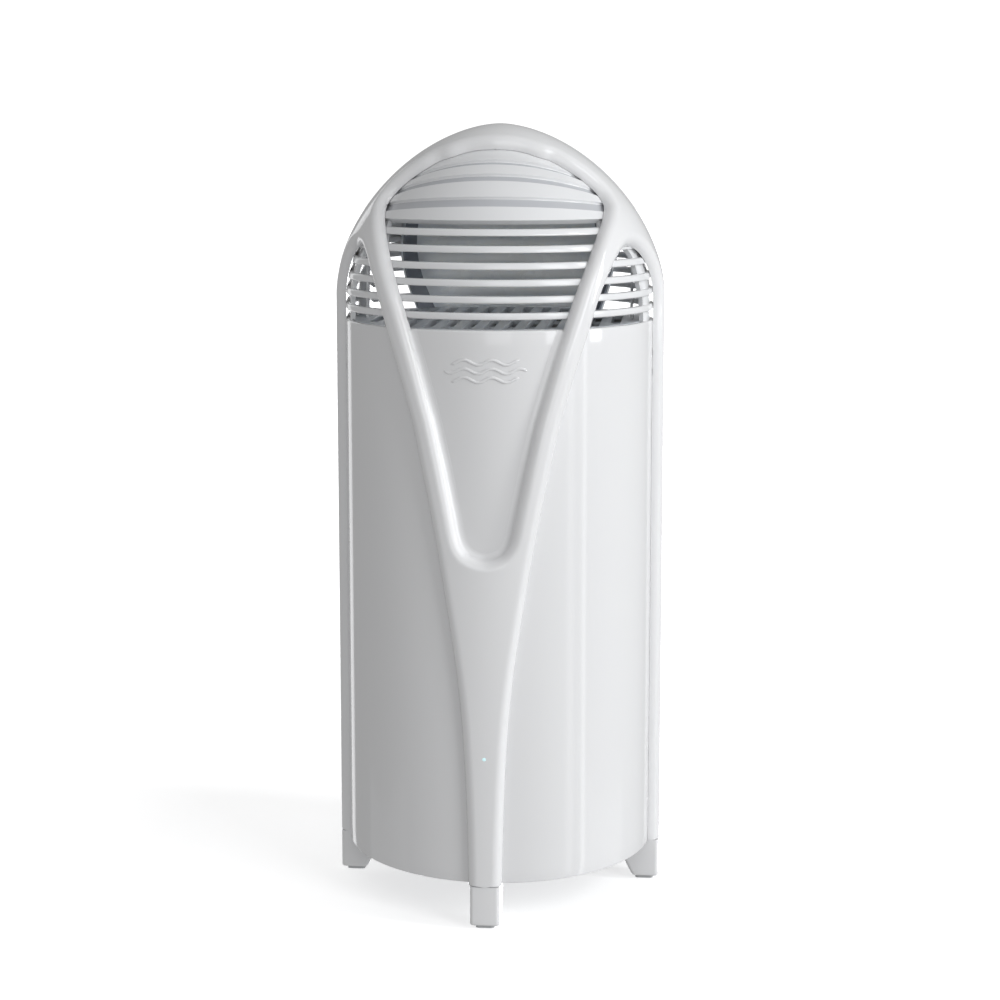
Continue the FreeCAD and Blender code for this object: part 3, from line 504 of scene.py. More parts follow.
WIRE = Finish("wire_skin", (0.55, 0.09, 0.05), (0.62, 0.13, 0.07), 0.5, 0.06)
CYAN = Finish("lit_cyan", (0.62, 0.95, 1.0), (0.7, 0.97, 1.0), 0.15, 0.02, coat=0.5, glow=0.3)


def dress(piece: bpy.types.Object, finish: Finish) -> None:
    """Give a piece one finish over its whole surface."""
    piece.data.materials.clear()
    piece.data.materials.append(finish.material())


def fit(piece: bpy.types.Object, finish: Finish, body: str, replaced: Sequence[str] = ()) -> None:
    """Dress a new piece, let it ride on its body and say which nodes it stands for."""
    dress(piece, finish)
    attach(piece, body)
    if replaced:
        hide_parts(*replaced)
    LOG.info("%s: %d faces, rides on %s, replaces %s", piece.name, len(piece.data.polygons), body,
             ", ".join(replaced) or "nothing")


# ------------------------------------------------------------------------------------------ sub-assemblies

@dataclass
class Sizes:
    """Driving sizes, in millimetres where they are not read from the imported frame."""

    spring: float = 226.0
    power: float = 1.755
    depth: float = 4.1
    flush: float = 0.05
    rim: float = 217.3
    panel_gap: float = 0.3

    def envelope(self) -> Envelope:
        """The outer surface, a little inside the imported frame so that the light's lens stands proud."""
        low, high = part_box("outer_frame")
        flush = self.flush * MM
        return Envelope(high.x - flush, self.spring * MM, high.z - flush, self.power)


@dataclass
class OuterFrame:
    """The raised frame: Y at the front and rear, posts at the sides and the band over the crown.

    Half-widths are angles from the front's middle plane, and heights are those of the frame's foot on the
    body for the opening of the Y, and of its face for the openings at the sides.
    """

    sizes: Sizes
    skin: Envelope
    vee_base: float = 135.8
    vee_radius: float = 9.2
    vee_edge: Tuple[Tuple[float, float], ...] = (
        (10.3, 150.0), (11.3, 155.0), (12.3, 160.0), (14.1, 169.0), (15.7, 176.0), (17.4, 183.5), (19.3, 190.2),
        (21.4, 197.4), (23.4, 204.0), (25.8, 211.4), (28.1, 218.0), (30.3, 224.0), (32.3, 228.8), (35.0, 233.9),
        (38.6, 239.3), (42.2, 243.9), (46.2, 248.0), (50.6, 251.7), (55.2, 254.8), (59.8, 257.6), (63.4, 260.0))
    crown_edge: Tuple[Tuple[float, float], ...] = (
        (38.2, 17.9), (34.2, 17.2), (29.0, 17.6), (24.0, 18.1), (19.6, 18.4), (17.6, 19.1), (10.4, 19.6),
        (0.0, 20.2))
    side_edge: Tuple[Tuple[float, float], ...] = (
        (6.0, 16.0), (6.2, 28.0), (6.8, 49.0), (7.6, 66.0), (9.1, 85.0), (11.3, 103.0), (13.9, 120.0),
        (16.2, 134.0), (17.8, 143.0), (20.3, 156.0), (24.0, 173.5), (25.9, 182.0), (28.6, 191.4), (31.7, 201.0),
        (35.0, 210.4), (38.0, 218.6), (40.1, 224.6), (42.1, 229.4), (44.6, 233.6), (47.6, 237.4), (50.8, 240.8),
        (54.4, 243.6), (59.2, 246.0), (64.8, 246.9))
    post_edge: Tuple[Tuple[float, float], ...] = (
        (70.0, 246.2), (75.0, 244.0), (79.5, 240.4), (82.6, 236.0), (84.1, 230.0), (84.3, 218.0),
        (84.3, 120.0), (84.3, 16.0))
    vee_round: float = 3.9
    crown_round: float = 4.0
    side_round: float = 4.0
    root_width: float = 2.2
    root_height: float = 1.3
    foot_height: float = 16.0
    # How far round the opening's end its own stretch of rows reaches, and where that meets the outer edge
    bowl_length: float = 13.34
    bowl_near: float = 5.0
    bowl_below: float = 8.0
    bowl_above: float = 2.0
    # The round at the opening grows to the crown's own between these heights
    crown_from: float = 262.0
    crown_to: float = 284.0
    vee_line: Array = field(init=False, repr=False)
    side_line: Array = field(init=False, repr=False)
    apex: int = field(init=False, repr=False)

    def __post_init__(self) -> None:
        """Work out the two boundary curves on the chart."""
        depth = self.sizes.depth * MM
        body = self.skin.radius - depth
        turn = np.radians([0.0, 27.0, 54.0, 79.0])
        arc_x = self.vee_radius * MM * np.sin(turn)
        arc_z = (self.vee_base + self.vee_radius * (1.0 - np.cos(turn))) * MM
        azimuth = np.concatenate([arc_x / body, np.radians([edge[0] for edge in self.vee_edge])])
        height = np.concatenate([arc_z, np.array([edge[1] for edge in self.vee_edge]) * MM])
        rise = self.skin.chart(azimuth, self.skin.drop_at_height(height, depth))
        across = np.array(self.crown_edge) * MM
        reach = np.hypot(across[:, 0], across[:, 1])
        over = self.skin.chart(np.arctan2(across[:, 0], across[:, 1]), self.skin.drop_at_radius(reach, depth))
        points = np.concatenate([rise, over])
        mirror = np.array([-1.0, 1.0])
        whole = np.concatenate([points[3:0:-1] * mirror, points, points[-2:-5:-1] * mirror])
        self.vee_line = spline(whole, 1800, 3, len(whole) - 4)
        edges = np.array(self.side_edge + self.post_edge)
        drop = self.skin.drop_at_height(edges[:, 1] * MM)
        side = self.skin.chart(np.radians(edges[:, 0]), drop)
        self.side_line = spline(side, 2400)
        self.apex = int(np.linalg.norm(self.side_line - side[len(self.side_edge) - 1], axis=1).argmin())

    def _stem_and_arm(self, bottom: float) -> Array:
        """Chart grid of one half of a Y: from the middle line or the inner edge across to the outer edge.

        Three stretches follow each other: the stem, the round end of the opening, and the arm up to the
        shoulder. Each row joins a point of the inner boundary to the matching point of the outer one.
        """
        line = self.vee_line
        lengths = np.concatenate([[0.0], np.cumsum(np.linalg.norm(np.diff(line, axis=0), axis=1))])
        bowl = int(np.searchsorted(lengths, self.bowl_length * MM))
        shoulder = self._shoulder_index()
        near = self.vee_base - self.bowl_near
        heights = np.concatenate([np.linspace(bottom, near, 44), np.linspace(near, self.vee_base, 17)[1:]])
        bowl_steps, arm_steps = np.linspace(0.0, 1.0, 28)[1:], np.linspace(0.0, 1.0, 120)[1:]
        stem = np.zeros((len(heights), 2))
        stem[:, 1] = -self.skin.drop_at_height(heights * MM, self.sizes.depth * MM)
        inner = np.concatenate([stem, resampled(line[:bowl + 1], bowl_steps),
                                resampled(line[bowl:shoulder + 1], arm_steps)])
        side = self.side_line[:self.apex + 1]
        levels = np.array([bottom, self.vee_base - self.bowl_below, self.vee_base + self.bowl_above]) * MM
        gaps = np.abs(np.hypot(*side.T)[:, None] - self.skin.drop_at_height(levels)[None, :])
        start, low, mid = gaps.argmin(0)
        stem_steps = (heights - bottom) / (self.vee_base - bottom)
        outer = np.concatenate([resampled(side[start:low + 1], stem_steps),
                                resampled(side[low:mid + 1], bowl_steps), resampled(side[mid:], arm_steps)])
        across = ease(30, (True, True))[None, :, None]
        return inner[:, None, :] * (1.0 - across) + outer[:, None, :] * across

    def _shoulder_index(self) -> int:
        """Index on the opening's curve where the arm runs into the crown band."""
        depth = self.sizes.depth * MM
        azimuth, height = self.vee_edge[-1]
        target = self.skin.chart(np.radians([azimuth]), self.skin.drop_at_height([height * MM], depth))[0]
        return int(np.linalg.norm(self.vee_line - target, axis=1).argmin())

    def _post_and_crown(self) -> Array:
        """Chart grid of one half of a post and of the crown band: from the middle plane to the edge."""
        shoulder = self._shoulder_index()
        post = self.side_line[self.apex:][::-1]
        root = np.stack([self.side_line[self.apex], self.vee_line[shoulder]])
        crown = self.vee_line[shoulder:]
        edge = np.concatenate([resampled(post, np.linspace(0.0, 1.0, 110)),
                               resampled(root, ease(30, (True, True)))[1:],
                               resampled(crown, np.linspace(0.0, 1.0, 70))[1:]])
        middle_x = np.minimum.accumulate(np.clip(edge[:, 0], 0.0, edge[0, 0]))
        middle_x[0], middle_x[-1] = np.hypot(*edge[0]), 0.0
        middle = np.stack([middle_x, np.zeros_like(middle_x)], axis=-1)
        across = ease(24, (False, True))[None, :, None]
        return middle[:, None, :] * (1.0 - across) + edge[:, None, :] * across

    def _inset(self, chart: Array) -> Array:
        """Depth of the frame's face under the envelope.

        Near an edge it falls away as a quarter ellipse: the full depth at the foot, none at the far side of
        the round. The two openings give a depth each, and the greater counts.
        """
        depth = self.sizes.depth * MM
        place = self.skin.lifted(chart, np.zeros(chart.shape[:-1]))
        vee = self.skin.lifted(self.vee_line, np.zeros(len(self.vee_line)))
        side = self.skin.lifted(self.side_line, np.zeros(len(self.side_line)))
        vee_width = np.interp(place[..., 2] / MM, [self.crown_from, self.crown_to],
                              [self.vee_round, self.crown_round]) * MM
        near_vee = np.clip(1.0 - distance_to(place, vee) / vee_width, 0.0, 1.0)
        near_side = np.clip(1.0 - distance_to(place, side) / (self.side_round * MM), 0.0, 1.0)
        near = np.maximum(near_vee, near_side)
        return depth * (1.0 - np.sqrt(1.0 - near ** 2))

    def _root(self) -> Surface:
        """The hollow fillet at the foot of the opening's wall, on the cylinder.

        The opening's edge is unrolled, offset towards the opening, and rolled back: the strip's height falls
        as a hollow quarter ellipse from the wall to the body.
        """
        body = self.skin.radius - self.sizes.depth * MM
        drop = np.hypot(self.vee_line[:, 0], self.vee_line[:, 1])
        level = np.interp(drop, self.skin.drop, self.skin.height)
        edge = np.stack([body * np.arctan2(self.vee_line[:, 0], -self.vee_line[:, 1]), level], axis=-1)
        edge = resampled(edge[level < (self.sizes.rim - 0.6) * MM], np.linspace(0.0, 1.0, 150))
        along = np.gradient(edge, axis=0)
        along /= np.linalg.norm(along, axis=1, keepdims=True)
        along[0] = (1.0, 0.0)
        inward = np.stack([-along[:, 1], along[:, 0]], axis=-1)
        share = np.linspace(0.0, 1.0, 9)
        width, height = self.root_width * MM, self.root_height * MM
        reach = np.concatenate([[-0.5 * MM], -0.2 * MM + (width + 0.2 * MM) * share])
        lift = np.concatenate([[height], height * (1.0 - np.sqrt(1.0 - (1.0 - share) ** 2))]) + 0.01 * MM
        place = edge[:, None, :] + inward[:, None, :] * reach[None, :, None]
        place[..., 0] = np.maximum(place[..., 0], 0.0)
        azimuth = place[..., 0] / body
        rows = []
        for rise in (lift, np.full_like(lift, -0.3 * MM)):
            radius = body + rise[None, :] + 0.0 * azimuth
            rows.append(np.stack([radius * np.sin(azimuth), -radius * np.cos(azimuth), place[..., 1]], axis=-1))
        return Surface().slab(*rows)

    def _half(self, bottom: float) -> Surface:
        """One quadrant of the frame as a closed shell."""
        made = Surface()
        depth = self.sizes.depth * MM
        for chart in (self._stem_and_arm(bottom), self._post_and_crown()):
            top = self.skin.lifted(chart, self._inset(chart))
            under = self.skin.lifted(chart, np.full(chart.shape[:-1], depth))
            made.grid(top)
            made.grid(under)
            made.grid(np.stack([top[0], under[0]]))
        return made

    def build(self) -> None:
        """Make the whole frame out of four quadrants; the rear stem ends above the rear panel."""
        fit(self._root().mirrored(0).mirrored(1).piece("frame_root", 35.0), WHITE_FRAME, "housing")
        low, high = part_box("rear_panel")
        front = self._half(self.foot_height).mirrored(0)
        rear = self._half(high.z / MM + self.sizes.panel_gap).mirrored(0)
        whole = Surface()
        whole.points = front.points + [points * np.array([1.0, -1.0, 1.0]) for points in rear.points]
        whole.faces = front.faces + [faces[:, ::-1] + front.count for faces in rear.faces]
        whole.count = front.count + rear.count
        made = whole.piece("outer_frame_shell", sharp=35.0)
        fit(made, WHITE_FRAME, "housing", ["outer_frame"])


@dataclass
class Body:
    """The smooth wall of the cylinder, with a rounded rim and a seam over the base plate."""

    sizes: Sizes
    lip: float = 0.8
    segments: int = 288

    def build(self) -> None:
        """Sweep the wall's section: outside, rounded rim, inside, the step over the base plate and the skirt."""
        low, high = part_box("body_shell")
        outer = high.x
        inner = outer - 2.5 * MM
        skirt, step = outer - 0.9 * MM, low.z + 2.5 * MM
        lip, small = self.lip * MM, 0.35 * MM
        quarter = np.linspace(0.0, 0.5 * math.pi, 6)
        steps = np.linspace(low.z + small, high.z - lip, 40)
        rim_out = np.stack([outer - lip + lip * np.cos(quarter), high.z - lip + lip * np.sin(quarter)], -1)
        rim_in = np.stack([inner + lip - lip * np.sin(quarter), high.z - lip + lip * np.cos(quarter)], -1)
        foot_out = np.stack([outer - small + small * np.sin(quarter),
                             low.z + small - small * np.cos(quarter)], -1)
        wall = np.stack([np.full(40, outer), steps], -1)
        back = np.stack([np.full(12, inner), np.linspace(high.z - lip, step, 12)], -1)
        under = np.array([[skirt, step], [skirt, low.z]])
        profile = np.concatenate([wall[:-1], rim_out, rim_in, back[1:], under, foot_out[:-1]])
        made = Surface().grid(turned_ring(profile, self.segments), True, True).piece("body_wall", 50.0)
        fit(made, WHITE_BODY, "housing", ["body_shell"])


@dataclass
class Dome:
    """The louvred dome under the frame: rings, hidden ribs and the closed cap with its sunk bands."""

    sizes: Sizes
    skin: Envelope
    inset: float = 4.25
    wall: float = 3.0
    first: float = 220.9
    pitch: float = 5.8
    rings: int = 6
    blade: float = 2.5
    corner: float = 0.7
    cap_base: float = 255.4
    rib_sunk: float = 1.3
    rib_top: float = 256.0
    rib_least: float = 1.6
    # Edges of the ribs behind the arms and the posts: height and degrees from the middle plane
    arm_inner: Tuple[Tuple[float, float], ...] = ((217.3, 32.5), (234.0, 40.5), (246.0, 48.6), (256.0, 57.0))
    arm_outer: Tuple[Tuple[float, float], ...] = ((217.3, 34.3), (230.5, 40.6), (242.0, 49.4), (256.0, 63.0))
    post_inner: Tuple[Tuple[float, float], ...] = (
        (217.3, 74.0), (225.0, 73.0), (231.0, 70.6), (242.0, 70.2), (246.0, 66.0), (256.0, 62.0))
    fin_at: float = 49.8
    fin_thick: float = 1.0
    fin_half: float = 6.0
    fin_top: float = 238.0
    band_depth: float = 1.0
    band_wall: float = 0.35
    crown_half: float = 14.5
    # The closed cap's sunk bands: height and forward distance on the middle plane, tilt in degrees and width
    bands: Tuple[Tuple[float, float, float, float], ...] = (
        (261.9, 42.5, 6.4, 4.8), (270.4, 34.2, 18.0, 4.2), (275.7, 27.3, 29.0, 3.4))

    def _blade_profile(self, low: float) -> Array:
        """Section of one louvre ring: a slanted bar with round corners that follows the dome's slope."""
        inset, wall, corner = self.inset * MM, self.wall * MM, self.corner * MM
        outline = rounded_outline(0.5 * wall, 0.5 * self.blade * MM, corner, 5)
        height = (low + 0.5 * self.blade) * MM + outline[:, 1]
        reach = self.skin.meridian(self.skin.drop_at_height(height, inset), inset)[0]
        return np.stack([reach - 0.5 * wall + outline[:, 0], height], axis=-1)

    def _rib(self, low: Array, high: Array) -> Tuple[Array, Array]:
        """Top and underside of a rib between two edges given as rows of (azimuth, height)."""
        across = np.linspace(0.0, 1.0, 8)[None, :, None]
        pair = low[:, None, :] * (1.0 - across) + high[:, None, :] * across
        depth = (self.inset + self.rib_sunk) * MM
        drop = self.skin.drop_at_height(pair[..., 1] * MM, depth)
        azimuth = np.radians(pair[..., 0])
        top = self.skin.point(azimuth, drop, depth)
        return top, self.skin.point(azimuth, drop, (self.inset + self.wall) * MM)

    def _ribs(self) -> Surface:
        """The ribs behind the arms and the wider ones behind the posts, in all four quadrants."""
        count = 40
        height = np.linspace(self.sizes.rim, self.rib_top, count)
        arm_in, arm_out, post = [np.interp(height, *np.array(edge).T)
                                 for edge in (self.arm_inner, self.arm_outer, self.post_inner)]
        made = Surface()
        pairs = ((arm_in, np.maximum(arm_out, arm_in + self.rib_least)), (post, np.full(count, 90.0)))
        for left, right in pairs:
            rows = [np.stack([edge, height], axis=-1) for edge in (left, right)]
            made.slab(*self._rib(*rows))
        return made.mirrored(0).mirrored(1)

    def _fins(self) -> Surface:
        """The two thin upright fins beside the deck, each on a small web behind its post."""
        outline = rounded_outline(0.5 * self.fin_thick * MM, self.fin_half * MM, 0.45 * MM, 5)
        levels = np.array([self.sizes.rim, self.fin_top]) * MM
        loop = np.stack([outline[:, 0] + self.fin_at * MM, outline[:, 1]], axis=-1)
        rows = np.concatenate([np.repeat(loop[None], 2, 0),
                               np.broadcast_to(levels[:, None, None], (2, len(loop), 1))], axis=-1)
        return Surface().grid(rows, around=True).cap(rows[1]).cap(rows[0]).mirrored(0)

    def _line(self, height: float, forward: float, tilt: float, reach: float, count: int) -> Array:
        """Where a plane tilted about X cuts the dome: azimuth and drop for X from minus reach to reach.

        The plane falls towards the axis by the tangent of the tilt. For each X the drop is found by halving.
        """
        across = np.linspace(-reach, reach, count) * MM
        slope = math.tan(math.radians(tilt))
        small, large = np.zeros(count), np.full(count, self.skin.dome_length)
        inset = self.inset * MM
        for _ in range(40):
            middle = 0.5 * (small + large)
            radius, level = self.skin.meridian(middle, inset)
            ahead = np.sqrt(np.maximum(radius ** 2 - across ** 2, 0.0))
            above = level > height * MM - slope * (forward * MM - ahead)
            small = np.where(above, middle, small)
            large = np.where(above, large, middle)
        radius = self.skin.meridian(small, inset)[0]
        azimuth = np.arcsin(np.clip(across / radius, -1.0, 1.0))
        return self.skin.chart(azimuth, small)

    def _cap(self) -> Surface:
        """The closed cap at the front: strips between the lines, every second one sunk, with steep walls."""
        count = 121
        charts = [self._line(self.cap_base, 49.0, 0.0, 44.0, count)]
        for (height, forward, tilt, width), reach in zip(self.bands, (42.5, 38.5, 34.5)):
            middle = self._line(height, forward, tilt, reach, count)
            drop = np.linalg.norm(middle, axis=1, keepdims=True)
            charts += [middle * (1.0 + side * 0.5 * width * MM / drop) for side in (1.0, -1.0)]
        across = np.linspace(-32.0, 32.0, count) * MM
        behind = np.hypot(across, self.crown_half * MM)
        last = self.skin.chart(np.arctan2(across, np.full(count, self.crown_half * MM)),
                               self.skin.drop_at_radius(behind, self.inset * MM))
        charts.append(last)
        rows: List[Array] = []
        depths: List[Array] = []
        for index, (start, end) in enumerate(zip(charts[:-1], charts[1:])):
            length = np.linalg.norm(end - start, axis=-1, keepdims=True)
            if index % 2 == 1:
                wall = np.clip(self.band_wall * MM / np.maximum(length, 1e-6), 0.0, 0.3)
                near = [0.15 * wall, wall, 2.0 * wall]
                steps = near + [np.full_like(wall, 0.5)] + [1.0 - step for step in near[::-1]]
                levels = [0.0, 0.75, 1.0, 1.0, 1.0, 0.75, 0.0]
            else:
                steps = [0.0, 0.33, 0.67, 1.0]
                levels = [0.0] * len(steps)
            rows += [start * (1.0 - step) + end * step for step in steps]
            depths += [np.full(count, level * self.band_depth * MM) for level in levels]
        chart = np.stack(rows)
        depth = np.stack(depths)
        top = self.skin.lifted(chart, self.inset * MM + depth)
        under = self.skin.lifted(chart, np.full(depth.shape, (self.inset + self.wall) * MM))
        return Surface().slab(top, under).mirrored(1)

    def _band_shade_sheets(self) -> Surface:
        """Thin sheets on the floors of the sunk bands, in a grey that is painted shade in the recesses."""
        made = Surface()
        share = np.linspace(-0.42, 0.42, 5)[:, None, None]
        for (height, forward, tilt, width), reach in zip(self.bands, (42.5, 38.5, 34.5)):
            middle = self._line(height, forward, tilt, reach, 121)
            drop = np.linalg.norm(middle, axis=1, keepdims=True)
            chart = middle[None] * (1.0 + share * width * MM / drop[None])
            faces = [self.skin.lifted(chart, np.full(chart.shape[:2], (self.inset + self.band_depth + low) * MM))
                     for low in (-0.06, 0.4)]
            made.slab(*faces)
        return made.mirrored(1)

    def _crown(self) -> Surface:
        """The plain strip of the cap that lies under the crown band."""
        across = np.linspace(-44.0, 44.0, 81) * MM
        back = np.linspace(-self.crown_half, self.crown_half, 21) * MM
        x, y = np.meshgrid(across, back, indexing="ij")
        drop = self.skin.drop_at_radius(np.hypot(x, y), self.inset * MM)
        azimuth = np.arctan2(x, -y)
        top = self.skin.point(azimuth, drop, self.inset * MM)
        return Surface().slab(top, self.skin.point(azimuth, drop, (self.inset + self.wall) * MM))

    def build(self) -> None:
        """Make the rings, the ribs, the fins and the cap."""
        blades = Surface()
        for index in range(self.rings):
            blades.grid(turned_ring(self._blade_profile(self.first + index * self.pitch), 240), True, True)
        rings = blades.piece("louvre_rings", 50.0)
        fit(rings, WHITE_DOME, "housing", ["dome_grille"])
        parts = (("dome_ribs", self._ribs(), 40.0, WHITE_DOME), ("dome_fins", self._fins(), 40.0, WHITE_DOME),
                 ("dome_cap", self._cap(), 28.0, WHITE_DOME),
                 # The sheets on the band floors are grey painted shade
                 ("dome_band_painted_shade", self._band_shade_sheets(), 40.0, BAND_PAINTED_SHADE),
                 ("dome_crown", self._crown(), 40.0, WHITE_DOME))
        for name, surface, sharp, finish in parts:
            fit(surface.piece(name, sharp), finish, "housing")


@dataclass
class Shield:
    """The smooth grey wall behind the rear louvres."""

    sizes: Sizes
    skin: Envelope
    inset: float = 7.7
    thick: float = 1.0
    half: float = 43.0
    spread: float = 0.5
    # Width in degrees of the dark strips on the sheet's edges, which are painted shade
    edge_shade_width: float = 8.0
    top: float = 262.0

    def _sheet(self, start: float, side: Tuple[float, float], inset: float, columns: int) -> Tuple[Array, Array]:
        """Both faces of a curved sheet between two shares of the half-angle, which grows with the height.

        Args:
            start: Degrees taken off the half-angle at the first edge.
            side: Factors of the half-angle at the two edges.
            inset: Depth of the outer face.
            columns: Points across.
        """
        height = np.linspace(self.sizes.rim + 0.2, self.top, 40)[None, :]
        half = self.half + self.spread * (height - self.sizes.rim)
        first, last = side[0] * (half - start), side[1] * half
        share = np.linspace(0.0, 1.0, columns)[:, None]
        turn = np.radians(180.0 + first * (1.0 - share) + last * share)
        drop = self.skin.drop_at_height(height * MM + 0.0 * turn, inset * MM)
        return (self.skin.point(turn, drop, inset * MM),
                self.skin.point(turn, drop, (inset + self.thick) * MM))

    def build(self) -> None:
        """Make the curved sheet over the rear of the dome, from the rim up, and dark strips on its edges that
        are painted shade.
        """
        made = Surface().slab(*self._sheet(0.0, (-1.0, 1.0), self.inset, 61)).piece("rear_shield_wall", 40.0)
        fit(made, GREY_SHIELD, "housing", ["rear_shield"])
        # Dark strips just inside the sheet's edges: painted shade for the rear arms' shadowed inner sides
        edges = Surface().slab(*self._sheet(self.edge_shade_width, (1.0, 1.0), self.inset + 1.05, 9)).mirrored(0)
        edge_shade_piece = edges.piece("rear_shield_edge_shade", 40.0)
        fit(edge_shade_piece, SHIELD_EDGE_SHADE, "housing")


@dataclass
class Feet:
    """The four legs: flat-sided blocks with round corners, whose inner face slopes in towards the floor."""

    corner: float = 1.4
    bottom_round: float = 0.8
    slope: float = 7.5

    def _leg(self, node: str) -> Surface:
        """Stack rounded outlines from the floor up: they shrink at the bottom, and lean inwards with height."""
        low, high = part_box(node)
        middle = 0.5 * (low + high)
        outward = np.array([middle.x, middle.y]) / math.hypot(middle.x, middle.y)
        half_x, half_y = 0.5 * (high.x - low.x), 0.5 * (high.y - low.y)
        radial, tangent = (half_x, half_y) if abs(outward[0]) > 0.5 else (half_y, half_x)
        angle = np.linspace(0.0, 0.5 * math.pi, 7)
        round_in = self.bottom_round * MM
        levels = np.concatenate([low.z + round_in * (1.0 - np.cos(angle)),
                                 np.linspace(low.z + round_in, high.z, 8)[1:]])
        shrink = np.concatenate([round_in * (1.0 - np.sin(angle)), np.zeros(7)])
        loops = []
        for level, less in zip(levels, shrink):
            part = (level - low.z) / (high.z - low.z)
            cut = self.slope * MM * (1.0 - part)
            outline = rounded_outline(tangent - 0.6 * less, radial - 0.5 * cut - 0.6 * less, self.corner * MM)
            outline[:, 1] += 0.5 * cut
            along = np.hypot(middle.x, middle.y) + outline[:, 1]
            side = np.array([-outward[1], outward[0]])
            flat = along[:, None] * outward[None, :] + outline[:, :1] * side[None, :]
            loops.append(np.concatenate([flat, np.full((len(flat), 1), level)], axis=1))
        rows = np.stack(loops)
        return Surface().grid(rows, around=True).cap(rows[0]).cap(rows[-1])

    def build(self) -> None:
        """Make all four legs."""
        for side in ("front", "right", "rear", "left"):
            leg = self._leg("foot_" + side).piece("leg_" + side, 45.0)
            fit(leg, WHITE_FRAME, "housing", ["foot_" + side])


@dataclass
class Light:
    """The tiny lens of the light on the front stem."""

    height: float = 63.8
    radius: float = 0.95

    def build(self) -> None:
        """A shallow lens: rings of points whose forward bulge falls as the square of their radius."""
        low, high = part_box("outer_frame")
        turn = np.linspace(0.0, 2.0 * math.pi, 32, endpoint=False)[None, :]
        share = np.concatenate([np.linspace(0.0, 1.0, 7), [1.0]])[:, None]
        bulge = np.concatenate([0.12 * (1.0 - np.linspace(0.0, 1.0, 7) ** 2), [-0.5]])[:, None]
        x = self.radius * share * np.cos(turn) * MM
        z = (self.height + self.radius * share * np.sin(turn)) * MM
        y = low.y + (0.12 - bulge) * MM + 0.0 * turn
        rows = np.stack([x, y, z], axis=-1)
        lens = Surface().grid(rows, around=True).cap(rows[-1]).piece("light_lens", 50.0)
        fit(lens, CYAN, "housing", ["light_pipe"])


@dataclass
class Waves:
    """A plain mark of three waves, raised on the wall inside the Y."""

    height: float = 203.0
    spacing: float = 3.1
    length: float = 30.0
    swing: float = 0.85
    thick: float = 0.55

    def build(self) -> None:
        """Sweep a low half-round ridge along three sine curves laid on the wall."""
        low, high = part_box("body_shell")
        made = Surface()
        arc = np.linspace(0.0, math.pi, 9)
        for row in (-1, 0, 1):
            half = 0.5 * self.length * (1.0 - 0.18 * abs(row))
            along = np.linspace(-half, half, 121)
            taper = np.clip((half - np.abs(along)) / 1.2, 0.02, 1.0) ** 0.5
            level = self.height + row * self.spacing + self.swing * np.sin(2.0 * math.pi * along / 10.0)
            tilt = np.arctan(np.gradient(level, along))
            offset = self.thick * taper[:, None] * np.cos(arc)[None, :]
            lift = 0.45 * taper[:, None] * np.sin(arc)[None, :] - 0.05
            angle = (along[:, None] - np.sin(tilt)[:, None] * offset) * MM / high.x
            radius = high.x + lift * MM
            z = (level[:, None] + np.cos(tilt)[:, None] * offset) * MM
            top = np.stack([radius * np.sin(angle), -radius * np.cos(angle), z], axis=-1)
            sunk = top.copy()
            sunk[..., :2] *= ((high.x - 0.3 * MM) / np.linalg.norm(top[..., :2], axis=-1))[..., None]
            made.slab(top, sunk)
        mark = made.piece("wave_mark", 60.0)
        fit(mark, WHITE_BODY, "housing")


FINISHES: Dict[Slot, Finish] = {
    Slot.WHITE: WHITE_FRAME, Slot.GREY: GREY_DECK, Slot.RUBBER: RUBBER, Slot.STEEL: STEEL,
    Slot.CERAMIC: CERAMIC, Slot.HEATER: HEATER, Slot.WOOL: WOOL, Slot.ALUMINIUM: ALUMINIUM,
    Slot.BRASS: BRASS, Slot.BOARD: BOARD, Slot.COMPONENT: COMPONENT, Slot.BLACK: BLACK, Slot.WIRE: WIRE,
    Slot.LIGHT: CYAN, Slot.LAMP: CYAN}
SPECIAL: Dict[str, Finish] = {"base_plate": GREY_BASE, "deck_grille": GREY_DECK}


def dress_packed_nodes() -> None:
    """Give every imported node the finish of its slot, or its own where it has one."""
    slots = {part["node"]: Slot(part["material_slot"]) for part in frame["record"]["subparts"]}
    for node, piece in frame["nodes"].items():
        dress(piece, SPECIAL.get(node, FINISHES[slots[node]]))


# ------------------------------------------------------------------------------------------------- studio

@dataclass(frozen=True)
class Lamp:
    """A soft rectangular light on a sphere round the object, facing its middle."""

    name: str
    azimuth: float
    elevation: float
    width: float
    height: float
    radiance: float
    tint: Tuple[float, float, float] = (0.975, 0.99, 1.0)
    distance: float = 2.0

    def place(self) -> None:
        """Add the light: its power is its radiance times pi times its area."""
        lamp = bpy.data.lights.new(self.name, "AREA")
        lamp.shape = "RECTANGLE"
        lamp.size, lamp.size_y = self.width, self.height
        lamp.energy = self.radiance * math.pi * self.width * self.height
        lamp.color = self.tint
        turn, rise = math.radians(self.azimuth), math.radians(self.elevation)
        toward = np.array([math.sin(turn) * math.cos(rise), -math.cos(turn) * math.cos(rise), math.sin(rise)])
        holder = bpy.data.objects.new(self.name, lamp)
        holder.location = np.array([0.0, 0.0, 0.15]) + self.distance * toward
        holder.rotation_euler = (0.5 * math.pi - rise, 0.0, turn)
        bpy.context.scene.collection.objects.link(holder)


